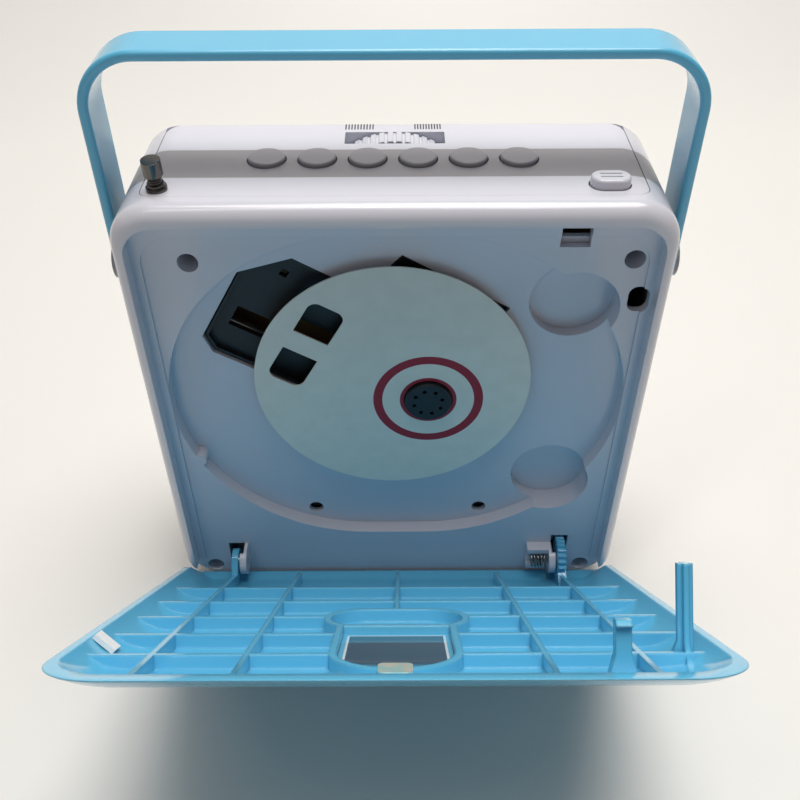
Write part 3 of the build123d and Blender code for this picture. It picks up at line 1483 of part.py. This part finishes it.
with BuildPart() as volume_control:
    with BuildSketch(upright(volume_y - volume_thickness / 2 - seam_gap)):
        with Locations((volume_x - wall, volume_z)):
            Rectangle(volume_radius + wall, volume_radius + wall)
    extrude(amount=volume_y - volume_thickness / 2 - seam_gap - main_board_y)
    with BuildSketch(upright(volume_y - volume_thickness / 2 - seam_gap)):
        with Locations((volume_x, volume_z)):
            Circle(volume_shaft / 2 - running_gap)
    extrude(amount=-(volume_thickness + seam_gap))
volume_control.part.label = "volume_control"
export_step(volume_control.part, "parts/volume_control.step")

# Function switch knob, with its body on the inner wall
with BuildPart() as function_switch:
    with BuildSketch(edge_on(side_x + switch_knob_out)):
        with Locations((side_part_y, knob_z)):
            Rectangle(switch_knob_size, switch_knob_size)
    extrude(amount=-(switch_knob_out + wall + seam_gap))
    with BuildSketch(edge_on(side_x - wall - seam_gap)):
        with Locations((side_part_y, knob_z)):
            Rectangle(2 * switch_knob_size, switch_knob_size + 2 * switch_knob_travel)
    extrude(amount=-board_thickness)
function_switch.part.label = "function_switch"
export_step(function_switch.part, "parts/function_switch.step")

# Phone jack and mains inlet at the other side
with BuildPart() as headphone_jack:
    with BuildSketch(edge_on(-side_x)):
        with Locations((side_part_y, jack_z)):
            Circle(jack_radius)
            Circle(jack_bore / 2, mode=Mode.SUBTRACT)
    extrude(amount=jack_length)
    with BuildSketch(edge_on(-side_x + jack_length)):
        with Locations((side_part_y, jack_z)):
            Rectangle(2 * jack_radius, 2 * jack_radius)
    extrude(amount=wall)
headphone_jack.part.label = "headphone_jack"
export_step(headphone_jack.part, "parts/headphone_jack.step")

with BuildPart() as ac_inlet:
    with BuildSketch(edge_on(-side_x)):
        with Locations((side_part_y, inlet_z)):
            SlotOverall(inlet_width, inlet_height, rotation=90)
            SlotOverall(inlet_width - 2 * wall, inlet_height - 2 * wall, rotation=90, mode=Mode.SUBTRACT)
    extrude(amount=inlet_length)
    with BuildSketch(edge_on(-side_x + inlet_length - wall)):
        with Locations((side_part_y, inlet_z)):
            SlotOverall(inlet_width, inlet_height, rotation=90)
    extrude(amount=wall)
    with BuildSketch(edge_on(-side_x + inlet_length - wall)):
        with Locations((side_part_y, inlet_z - wall), (side_part_y, inlet_z + wall)):
            Circle(motor_shaft / 2)
    extrude(amount=-(inlet_length - 2 * wall))
ac_inlet.part.label = "ac_inlet"
export_step(ac_inlet.part, "parts/ac_inlet.step")

# Windows over the display and the dial
with BuildPart() as display_window:
    with BuildSketch(upright(rear_y - seam_gap)):
        with Locations((0, display_z)):
            RectangleRounded(display_width, display_height, wall)
    extrude(amount=-window_thickness)
display_window.part.label = "display_window"
export_step(display_window.part, "parts/display_window.step")

with BuildPart() as dial_window:
    with BuildSketch(upright(rear_y - seam_gap)):
        with Locations((0, dial_z)):
            RectangleRounded(dial_window_width, dial_window_height, wall)
    extrude(amount=-window_thickness)
dial_window.part.label = "dial_window"
export_step(dial_window.part, "parts/dial_window.step")
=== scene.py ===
import math

import bmesh
import bpy
from mathutils import Matrix, Vector


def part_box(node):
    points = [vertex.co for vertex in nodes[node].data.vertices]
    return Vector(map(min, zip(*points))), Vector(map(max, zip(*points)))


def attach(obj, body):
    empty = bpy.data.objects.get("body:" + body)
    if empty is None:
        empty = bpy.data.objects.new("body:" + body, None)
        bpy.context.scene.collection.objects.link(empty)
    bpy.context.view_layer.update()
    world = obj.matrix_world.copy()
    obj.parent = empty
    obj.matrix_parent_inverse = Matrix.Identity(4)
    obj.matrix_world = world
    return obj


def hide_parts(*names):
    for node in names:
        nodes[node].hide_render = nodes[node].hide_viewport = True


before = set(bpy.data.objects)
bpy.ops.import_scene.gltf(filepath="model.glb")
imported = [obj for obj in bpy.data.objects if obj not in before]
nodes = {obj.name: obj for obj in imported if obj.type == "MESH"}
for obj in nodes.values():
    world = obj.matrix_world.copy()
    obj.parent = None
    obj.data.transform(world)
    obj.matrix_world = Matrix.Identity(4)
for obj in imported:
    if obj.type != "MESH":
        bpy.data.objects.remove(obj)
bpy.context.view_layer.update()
scene = bpy.context.scene
MM = 0.001

# Places and sizes taken over from the solids, in metres, except the screws' places in millimetres
HUB_X = 0.0102
HUB_Z = 0.086
LID_LEAN = math.radians(47.9)
LID_NORMAL = Vector((0, math.cos(LID_LEAN), math.sin(LID_LEAN)))
LID_ALONG = Vector((0, -math.sin(LID_LEAN), math.cos(LID_LEAN)))
HINGE = Vector((0, -26.0, 13.5)) * MM
LID_RIM = 0.0024
LID_MIDDLE = 0.075
WINDOW_START = 0.088
WINDOW_CENTRE = 0.113
WINDOW_RADIUS = 0.0129
AERIAL_FOOT = Vector((-64.4, -16.5, 159.0)) * MM
AERIAL_LEAN = math.radians(6.5)
SCREW_PLACES = ((-58.3, 137.0), (67.4, 137.5), (-68.4, 6.3), (68.4, 6.3))
SCREW_Y = -12.0
PANEL_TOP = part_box("control_panel")[1].z

# Sizes of what the materials draw, in metres
# Half width of the painted highlight round the lid window's edge
WINDOW_HIGHLIGHT_HALF = 0.0003
SMALL_RING = 0.0091
BIG_RING_INNER = 0.0147
BIG_RING_OUTER = 0.0176

# Rounding of the lid's rim
LID_CREASE = math.radians(25)
LID_FLAT = math.radians(0.6)
WELD_DISTANCE = 1e-6
RIM_TOLERANCE = 1e-5
OUTER_ROUND = 0.0017
INNER_ROUND = 0.0006
ROUND_SEGMENTS = 5

# Tick marks beside the tuning slot: spans across the panel in millimetres, the rest in metres
TICK_SPANS = ((-14.8, -6.6), (6.1, 13.7))
TICKS_IN_SPAN = 10
TICK_FRONT = 0.0206
TICK_BACK = 0.0242
TICK_HALF_WIDTH = 0.0002
TICK_HEIGHT = 0.00005

# Profiles of the turned pieces, as (radius, height) in millimetres
SCREW_PROFILE = ((0.9, 0.6), (1.5, 1.6), (2.1, 1.3), (2.5, 0.7), (2.5, 0.05))
SCREW_STEPS = 32
COLLAR_PROFILE = ((2.0, 0.85), (2.9, 0.85), (2.9, 1.0), (2.5, 1.3), (2.3, 1.8), (2.35, 2.1), (2.0, 2.1))
RING_PROFILE = ((0.9, -0.25), (1.75, -0.2), (1.95, 0.0), (1.75, 0.2), (0.9, 0.25))
RING_HEIGHTS = (2.75, 3.35, 3.95)
AERIAL_STEPS = 40

# Backdrop: a floor that sweeps up into a wall, in metres
FLOOR_FRONT = -1.6
FLOOR_BACK = 0.35
FLOOR_HALF_WIDTH = 2.5
SWEEP_RADIUS = 0.25
SWEEP_STEPS = 12
WALL_TOP = 2.2

# Camera as found from the photograph
PHOTO_PIXELS = 800
FOCAL_PIXELS = 904.99
SENSOR_WIDTH = 36.0
CAMERA_PLACE = (0.00166, -0.23945, 0.27610)
CAMERA_RIGHT = Vector((0.99998899, -0.00157648, -0.00441954))
CAMERA_DOWN = Vector((-0.00437279, -0.65470155, -0.75587483))
CAMERA_FORWARD = Vector((-0.00170186, 0.75588583, -0.65470124))


# ---------------------------------------------------------------- materials
def new_material(name, color, roughness, metallic=0.0, coat=0.0, specular=0.5):
    """Make a material and return it with its node tree and its shader."""
    mat = bpy.data.materials.new(name)
    mat.use_nodes = True
    shader = mat.node_tree.nodes["Principled BSDF"]
    shader.inputs["Base Color"].default_value = (*color, 1)
    shader.inputs["Roughness"].default_value = roughness
    shader.inputs["Metallic"].default_value = metallic
    shader.inputs["Coat Weight"].default_value = coat
    shader.inputs["Coat Roughness"].default_value = 0.1
    shader.inputs["Specular IOR Level"].default_value = specular
    return mat, mat.node_tree, shader


def noise(tree, scale, detail=2.0, stretch=(1, 1, 1)):
    """Noise over the object's own coordinates, in cycles per metre."""
    coord = tree.nodes.new("ShaderNodeTexCoord")
    mapping = tree.nodes.new("ShaderNodeMapping")
    mapping.inputs["Scale"].default_value = stretch
    tex = tree.nodes.new("ShaderNodeTexNoise")
    tex.inputs["Scale"].default_value = scale
    tex.inputs["Detail"].default_value = detail
    tree.links.new(coord.outputs["Object"], mapping.inputs["Vector"])
    tree.links.new(mapping.outputs["Vector"], tex.inputs["Vector"])
    return tex.outputs["Fac"]


def ramp(tree, value, low, high):
    """Colour that runs from low to high over the middle of the noise's range."""
    node = tree.nodes.new("ShaderNodeValToRGB")
    for element, place, color in zip(node.color_ramp.elements, (0.35, 0.65), (low, high)):
        element.position = place
        element.color = (*color, 1)
    tree.links.new(value, node.inputs["Fac"])
    return node.outputs["Color"]


def vary_color(tree, shader, scale, detail, low, high):
    """Base colour that drifts between two shades."""
    tree.links.new(ramp(tree, noise(tree, scale, detail), low, high), shader.inputs["Base Color"])


def vary_roughness(tree, shader, scale, low, high):
    """Roughness that drifts between two values."""
    span = tree.nodes.new("ShaderNodeMapRange")
    for socket, value in (("From Min", 0.3), ("From Max", 0.7), ("To Min", low), ("To Max", high)):
        span.inputs[socket].default_value = value
    tree.links.new(noise(tree, scale), span.inputs["Value"])
    tree.links.new(span.outputs["Result"], shader.inputs["Roughness"])


def grain(tree, shader, height, strength, distance, edge=0.0):
    """Surface grain, over edges softened by the given radius."""
    node = tree.nodes.new("ShaderNodeBump")
    node.inputs["Strength"].default_value = strength
    node.inputs["Distance"].default_value = distance
    tree.links.new(height, node.inputs["Height"])
    if edge:
        bevel = tree.nodes.new("ShaderNodeBevel")
        bevel.samples = 4
        bevel.inputs["Radius"].default_value = edge
        tree.links.new(bevel.outputs["Normal"], node.inputs["Normal"])
    tree.links.new(node.outputs["Normal"], shader.inputs["Normal"])


def mix_color(tree, factor, first, second):
    """Blend a linked colour towards a plain second one."""
    node = tree.nodes.new("ShaderNodeMix")
    node.data_type = "RGBA"
    base, other = [socket for socket in node.inputs if socket.type == "RGBA"]
    tree.links.new(factor, node.inputs["Factor"])
    tree.links.new(first, base)
    other.default_value = (*second, 1)
    return [socket for socket in node.outputs if socket.type == "RGBA"][0]


def math_node(tree, operation, *values):
    """Do sums with sockets and plain floats."""
    node = tree.nodes.new("ShaderNodeMath")
    node.operation = operation
    for socket, value in zip(node.inputs, values):
        if isinstance(value, float):
            socket.default_value = value
        else:
            tree.links.new(value, socket)
    return node.outputs["Value"]


def length_of(tree, first, second):
    """Length of two values at right angles to each other."""
    squares = [math_node(tree, "MULTIPLY", value, value) for value in (first, second)]
    return math_node(tree, "SQRT", math_node(tree, "ADD", *squares))


def object_place(tree):
    """The object's own coordinates, whole and as separate X, Y and Z."""
    coord = tree.nodes.new("ShaderNodeTexCoord").outputs["Object"]
    split = tree.nodes.new("ShaderNodeSeparateXYZ")
    tree.links.new(coord, split.inputs["Vector"])
    return coord, split.outputs


def tint(color, factor):
    """The colour made lighter or darker, with no channel over 1."""
    return tuple(min(1.0, channel * factor) for channel in color)


def moulded(name, color, low, high, coat, edge=0.0003, strength=0.05):
    """Moulded plastic: almost even colour, uneven sheen and a fine surface grain."""
    mat, tree, shader = new_material(name, color, high, coat=coat)
    vary_color(tree, shader, 14.0, 2.0, tint(color, 0.985), tint(color, 1.015))
    vary_roughness(tree, shader, 30.0, low, high)
    grain(tree, shader, noise(tree, 1500.0, 1.0), strength, 0.00003, edge)
    return mat


def metal(name, color, low, high, stretch=(1, 1, 1)):
    """Metal with a fine grain, drawn out where its noise is stretched."""
    mat, tree, shader = new_material(name, color, high, metallic=1.0)
    grain(tree, shader, noise(tree, 500.0, 4.0, stretch), 0.1, 0.00004, 0.00025)
    vary_roughness(tree, shader, 160.0, low, high)
    return mat


def rough(name, low, high, roughness, scale, strength):
    """Matt material with a fine noise in its colour and a finer one in its relief."""
    mat, tree, shader = new_material(name, high, roughness)
    vary_color(tree, shader, scale, 3.0, low, high)
    grain(tree, shader, noise(tree, 1.6 * scale, 4.0), strength, 0.0002)
    return mat


def foil():
    """Crinkled foil that shimmers between two tints."""
    mat, tree, shader = new_material("foil", (0.8, 0.82, 0.84), 0.35, metallic=0.6)
    vary_color(tree, shader, 260.0, 1.0, (0.62, 0.88, 0.80), (0.95, 0.88, 0.70))
    grain(tree, shader, noise(tree, 320.0, 3.0), 0.5, 0.0004)
    return mat


def lens():
    """Coated glass of the pickup."""
    mat, tree, shader = new_material("lens", (0.05, 0.09, 0.25), 0.04, coat=1.0, specular=0.8)
    vary_color(tree, shader, 150.0, 2.0, (0.03, 0.05, 0.20), (0.12, 0.06, 0.25))
    return mat


def lid_window():
    """Window drawn dark as painted shade of the floor seen through the clear plastic, ringed by a painted
    highlight at its edge, with the lid's blue over the ledge that it lies on.
    """
    mat, tree, shader = new_material("window_plastic", (0.07, 0.11, 0.15), 0.06, coat=0.4, specular=0.6)
    coord, axes = object_place(tree)
    along = tree.nodes.new("ShaderNodeVectorMath")
    along.operation = "DOT_PRODUCT"
    along.inputs[1].default_value = LID_ALONG
    tree.links.new(coord, along.inputs[0])
    reach = math_node(tree, "SUBTRACT", along.outputs["Value"], HINGE.dot(LID_ALONG))
    past = math_node(tree, "MAXIMUM", math_node(tree, "SUBTRACT", reach, WINDOW_CENTRE), 0.0)
    past_round = math_node(tree, "SUBTRACT", length_of(tree, axes["X"], past), WINDOW_RADIUS)
    past_start = math_node(tree, "SUBTRACT", WINDOW_START, reach)
    outside = math_node(tree, "MAXIMUM", past_round, past_start)
    ledge = math_node(tree, "GREATER_THAN", outside, WINDOW_HIGHLIGHT_HALF)
    # Painted highlight: a bright band along the window's edge, where light glints off it
    edge_highlight = math_node(tree, "GREATER_THAN", outside, -WINDOW_HIGHLIGHT_HALF)
    # Painted shade: the clear window is drawn in dark tones that stand for the shaded floor seen through it
    glass = ramp(tree, noise(tree, 24.0), (0.045, 0.075, 0.10), (0.07, 0.11, 0.14))
    highlighted = mix_color(tree, edge_highlight, glass, (0.80, 0.86, 0.88))
    tree.links.new(mix_color(tree, ledge, highlighted, (0.14, 0.50, 0.72)), shader.inputs["Base Color"])
    return mat


def card():
    """Card with two plain rings round the hub."""
    mat, tree, shader = new_material("card", (0.62, 0.66, 0.62), 0.55)
    axes = object_place(tree)[1]
    across = math_node(tree, "SUBTRACT", axes["X"], HUB_X)
    rise = math_node(tree, "SUBTRACT", axes["Z"], HUB_Z)
    distance = length_of(tree, across, rise)
    small_ring = math_node(tree, "LESS_THAN", distance, SMALL_RING)
    past_inner = math_node(tree, "GREATER_THAN", distance, BIG_RING_INNER)
    within_outer = math_node(tree, "LESS_THAN", distance, BIG_RING_OUTER)
    big_ring = math_node(tree, "MULTIPLY", past_inner, within_outer)
    rings = math_node(tree, "MAXIMUM", small_ring, big_ring)
    paper = ramp(tree, noise(tree, 160.0, 4.0), (0.78, 0.775, 0.70), (0.82, 0.815, 0.74))
    tree.links.new(mix_color(tree, rings, paper, (0.36, 0.012, 0.03)), shader.inputs["Base Color"])
    grain(tree, shader, noise(tree, 1200.0, 4.0), 0.1, 0.0001)
    return mat


white_mat = moulded("white_plastic", (0.69, 0.68, 0.75), 0.20, 0.25, 0.3)
blue_mat = moulded("blue_plastic", (0.12, 0.50, 0.76), 0.16, 0.21, 0.4, edge=0.0009)
grey_mat = moulded("grey_plastic", (0.34, 0.31, 0.33), 0.34, 0.40, 0.15)
key_mat = moulded("key_plastic", (0.35, 0.32, 0.345), 0.30, 0.36, 0.2)
black_mat = moulded("black_plastic", (0.010, 0.011, 0.014), 0.42, 0.52, 0.0, strength=0.2)
gear_mat = moulded("gear_plastic", (0.72, 0.72, 0.71), 0.30, 0.38, 0.1)
board_mat = moulded("circuit_board", (0.28, 0.17, 0.07), 0.50, 0.62, 0.1)
display_mat = moulded("display_plastic", (0.05, 0.07, 0.08), 0.08, 0.12, 0.5)
print_mat = moulded("print_grey", (0.05, 0.05, 0.055), 0.42, 0.50, 0.0)
rubber_mat = rough("rubber", (0.014, 0.014, 0.015), (0.03, 0.03, 0.031), 0.78, 400.0, 0.3)
foam_mat = rough("foam", (0.86, 0.86, 0.86), (0.95, 0.95, 0.94), 0.9, 2500.0, 0.6)
cone_mat = rough("paper_cone", (0.012, 0.012, 0.012), (0.035, 0.034, 0.033), 0.85, 400.0, 0.5)
chrome_mat = metal("dark_chrome", (0.13, 0.12, 0.115), 0.12, 0.2, (1, 1, 0.05))
steel_mat = metal("steel", (0.55, 0.55, 0.56), 0.22, 0.36, (1, 1, 0.1))
spring_mat = metal("spring_steel", (0.30, 0.29, 0.28), 0.18, 0.28)
screw_mat = metal("screw_steel", (0.22, 0.22, 0.23), 0.3, 0.45)

ASSIGNED = {
    white_mat: ["front_cabinet", "rear_cabinet", "control_panel", "battery_box", "battery_door",
                "tuning_gang", "open_button", "latch_slider", "tuning_wheel"],
    blue_mat: ["lid", "handle"],
    grey_mat: ["centre_band", "panel_band"],
    key_mat: ["play_button", "stop_button", "forward_button", "back_button", "repeat_button",
              "program_button", "volume_wheel", "function_switch", "handle_pivots"],
    black_mat: ["button_switches", "damper_body", "interlock_switch", "cd_chassis", "pickup_sled",
                "turntable_hub", "volume_control", "headphone_jack", "ac_inlet"],
    gear_mat: ["damper_gear"],
    board_mat: ["button_board", "main_board"],
    rubber_mat: ["mech_grommets", "feet"],
    foam_mat: ["lid_foam_pad"],
    chrome_mat: ["aerial_base", "aerial_section_1", "aerial_section_2", "aerial_section_3"],
    steel_mat: ["hinge_pins", "guide_rods", "spindle_motor", "sled_motor", "speaker_frames",
                "transformer", "battery_contacts"],
    spring_mat: ["lid_spring"],
    display_mat: ["display_window", "dial_window"],
    cone_mat: ["speaker_cones"],
    foil(): ["window_tab"],
    lens(): ["pickup_lens"],
    lid_window(): ["lid_window"],
    card(): ["protective_card"],
}
for assigned_mat, names in ASSIGNED.items():
    for node_name in names:
        nodes[node_name].data.materials.clear()
        nodes[node_name].data.materials.append(assigned_mat)


# ---------------------------------------------------------------- added pieces
def mesh_object(name, bm, mat, smooth):
    """Turn a bmesh into a mesh object in the scene."""
    mesh = bpy.data.meshes.new(name)
    bm.to_mesh(mesh)
    bm.free()
    for poly in mesh.polygons:
        poly.use_smooth = smooth
    mesh.materials.append(mat)
    obj = bpy.data.objects.new(name, mesh)
    scene.collection.objects.link(obj)
    return obj


def mesh_piece(name, build, mat, body, smooth=False):
    """Make a mesh object that rides on a body."""
    bm = bmesh.new()
    build(bm)
    bmesh.ops.recalc_face_normals(bm, faces=bm.faces)
    obj = mesh_object(name, bm, mat, smooth)
    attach(obj, body)
    return obj


def add_block(bm, low, high):
    """Add a box between two corners."""
    low, high = Vector(low), Vector(high)
    matrix = Matrix.Translation((low + high) / 2) @ Matrix.Diagonal((*(high - low), 1))
    bmesh.ops.create_cube(bm, size=1.0, matrix=matrix)


def lathe(bm, profile, matrix, steps, closed=False):
    """Turn a profile of (radius, height) points about the matrix's z axis."""
    rows = []
    for step in range(steps):
        angle = 2 * math.pi * step / steps
        points = [Vector((radius * math.cos(angle), radius * math.sin(angle), height))
                  for radius, height in profile]
        rows.append([bm.verts.new(matrix @ point) for point in points])
    spans = len(profile) if closed else len(profile) - 1
    for step in range(steps):
        here, there = rows[step], rows[(step + 1) % steps]
        for index in range(spans):
            after = (index + 1) % len(profile)
            bm.faces.new((here[index], there[index], there[after], here[after]))
    if not closed:
        bm.faces.new([row[0] for row in reversed(rows)])
        bm.faces.new([row[-1] for row in rows])


def on_rim(edge):
    """Whether an edge is sharp and lies in the plane of the lid's flat rim."""
    heights = [(vert.co - HINGE).dot(LID_NORMAL) + LID_RIM for vert in edge.verts]
    return edge.calc_face_angle(0) > LID_CREASE and all(abs(height) < RIM_TOLERANCE for height in heights)


def rim_edges(bm, outer):
    """The sharp edges of the lid's flat rim, on its outer or its inner side."""
    middle = HINGE + LID_MIDDLE * LID_ALONG - LID_RIM * LID_NORMAL
    found = []
    for edge in filter(on_rim, bm.edges):
        wall = min(edge.link_faces, key=lambda face: face.normal.dot(LID_NORMAL))
        if (wall.normal.dot(edge.verts[0].co - middle) > 0) == outer:
            found.append(edge)
    return found


def round_lid_rim(bm):
    """The lid with its rim rounded, wide on the outer edge and narrow on the inner edge."""
    bm.from_mesh(nodes["lid"].data)
    bmesh.ops.remove_doubles(bm, verts=bm.verts, dist=WELD_DISTANCE)
    bmesh.ops.dissolve_limit(bm, angle_limit=LID_FLAT, verts=bm.verts, edges=bm.edges)
    for outer, width in ((True, OUTER_ROUND), (False, INNER_ROUND)):
        bmesh.ops.bevel(bm, geom=rim_edges(bm, outer), offset=width, segments=ROUND_SEGMENTS, profile=0.5,
                        affect="EDGES", clamp_overlap=True)
    for edge in bm.edges:
        edge.smooth = edge.calc_face_angle(0) < LID_CREASE


def dial_ticks(bm):
    """Two rows of printed ticks beside the tuning slot."""
    for start, end in TICK_SPANS:
        for index in range(TICKS_IN_SPAN):
            x = (start + (end - start) * index / (TICKS_IN_SPAN - 1)) * MM
            add_block(bm, (x - TICK_HALF_WIDTH, TICK_FRONT, PANEL_TOP),
                      (x + TICK_HALF_WIDTH, TICK_BACK, PANEL_TOP + TICK_HEIGHT))


def screw_heads(bm):
    """Pan heads at the bottoms of the deck's holes, each with a sunk middle."""
    towards_lid = Matrix.Rotation(math.pi / 2, 4, "X")
    for x, z in SCREW_PLACES:
        seat = Matrix.Translation(Vector((x, SCREW_Y, z)) * MM) @ towards_lid @ Matrix.Scale(MM, 4)
        lathe(bm, SCREW_PROFILE, seat, SCREW_STEPS)


aerial_axis = Matrix.Translation(AERIAL_FOOT) @ Matrix.Rotation(AERIAL_LEAN, 4, "X") @ Matrix.Scale(MM, 4)


def aerial_collar(bm):
    """Turned collar round the foot of the aerial."""
    lathe(bm, COLLAR_PROFILE, aerial_axis, AERIAL_STEPS, closed=True)


def aerial_rings(bm):
    """Raised rings on the aerial's neck."""
    for middle in RING_HEIGHTS:
        profile = [(radius, middle + height) for radius, height in RING_PROFILE]
        lathe(bm, profile, aerial_axis, AERIAL_STEPS, closed=True)


rounded_lid = mesh_piece("rounded_lid", round_lid_rim, blue_mat, "lid_assembly", smooth=True)
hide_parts("lid")
mesh_piece("dial_ticks", dial_ticks, print_mat, "cabinet")
mesh_piece("deck_screws", screw_heads, screw_mat, "cabinet", smooth=True)
mesh_piece("aerial_collar", aerial_collar, chrome_mat, "cabinet", smooth=True)
mesh_piece("aerial_rings", aerial_rings, chrome_mat, "aerial_3", smooth=True)


# ---------------------------------------------------------------- stage
def sweep(bm):
    """Floor, quarter-round sweep and wall in one sheet."""
    profile = [(FLOOR_FRONT, 0.0), (FLOOR_BACK, 0.0)]
    for index in range(1, SWEEP_STEPS + 1):
        angle = math.radians(90 * index / SWEEP_STEPS)
        profile.append((FLOOR_BACK + SWEEP_RADIUS * math.sin(angle),
                        SWEEP_RADIUS - SWEEP_RADIUS * math.cos(angle)))
    profile.append((FLOOR_BACK + SWEEP_RADIUS, WALL_TOP))
    left = [bm.verts.new((-FLOOR_HALF_WIDTH, y, z)) for y, z in profile]
    right = [bm.verts.new((FLOOR_HALF_WIDTH, y, z)) for y, z in profile]
    for index in range(len(profile) - 1):
        bm.faces.new((left[index], right[index], right[index + 1], left[index + 1]))


stage_bm = bmesh.new()
sweep(stage_bm)
backdrop = mesh_object("backdrop", stage_bm, new_material("floor", (0.86, 0.85, 0.83), 0.45)[0], smooth=True)

world = bpy.data.worlds.new("studio")
world.use_nodes = True
background = world.node_tree.nodes["Background"]
background.inputs["Color"].default_value = (1.0, 0.98, 0.95, 1)
background.inputs["Strength"].default_value = 0.12
scene.world = world


def area_light(name, place, target, size, power, color):
    """Rectangular lamp that points at its target."""
    data = bpy.data.lights.new(name, "AREA")
    data.shape = "RECTANGLE"
    data.size, data.size_y = size
    data.energy = power
    data.color = color
    obj = bpy.data.objects.new(name, data)
    scene.collection.objects.link(obj)
    obj.location = place
    obj.rotation_euler = (Vector(target) - Vector(place)).to_track_quat("-Z", "Y").to_euler()


area_light("overhead", (0.12, 0.14, 1.3), (0, 0, 0.05), (0.8, 0.7), 13.5, (1.0, 0.975, 0.93))
area_light("strip", (-0.25, -0.25, 1.5), (0, 0, 0.05), (0.10, 1.0), 2.5, (1.0, 0.98, 0.95))
area_light("fill", (-0.5, -1.1, 0.7), (0, 0, 0.08), (1.0, 1.0), 0.3, (1.0, 0.98, 0.96))

# ---------------------------------------------------------------- camera
camera_data = bpy.data.cameras.new("camera")
camera_data.sensor_width = SENSOR_WIDTH
camera_data.lens = FOCAL_PIXELS / PHOTO_PIXELS * SENSOR_WIDTH
camera_data.clip_start = 0.01
camera = bpy.data.objects.new("camera", camera_data)
rotation = Matrix((CAMERA_RIGHT, -CAMERA_DOWN, -CAMERA_FORWARD)).transposed().to_4x4()
camera.matrix_world = Matrix.Translation(CAMERA_PLACE) @ rotation
scene.collection.objects.link(camera)
scene.camera = camera
scene.view_settings.view_transform = "Standard"

bpy.context.view_layer.update()
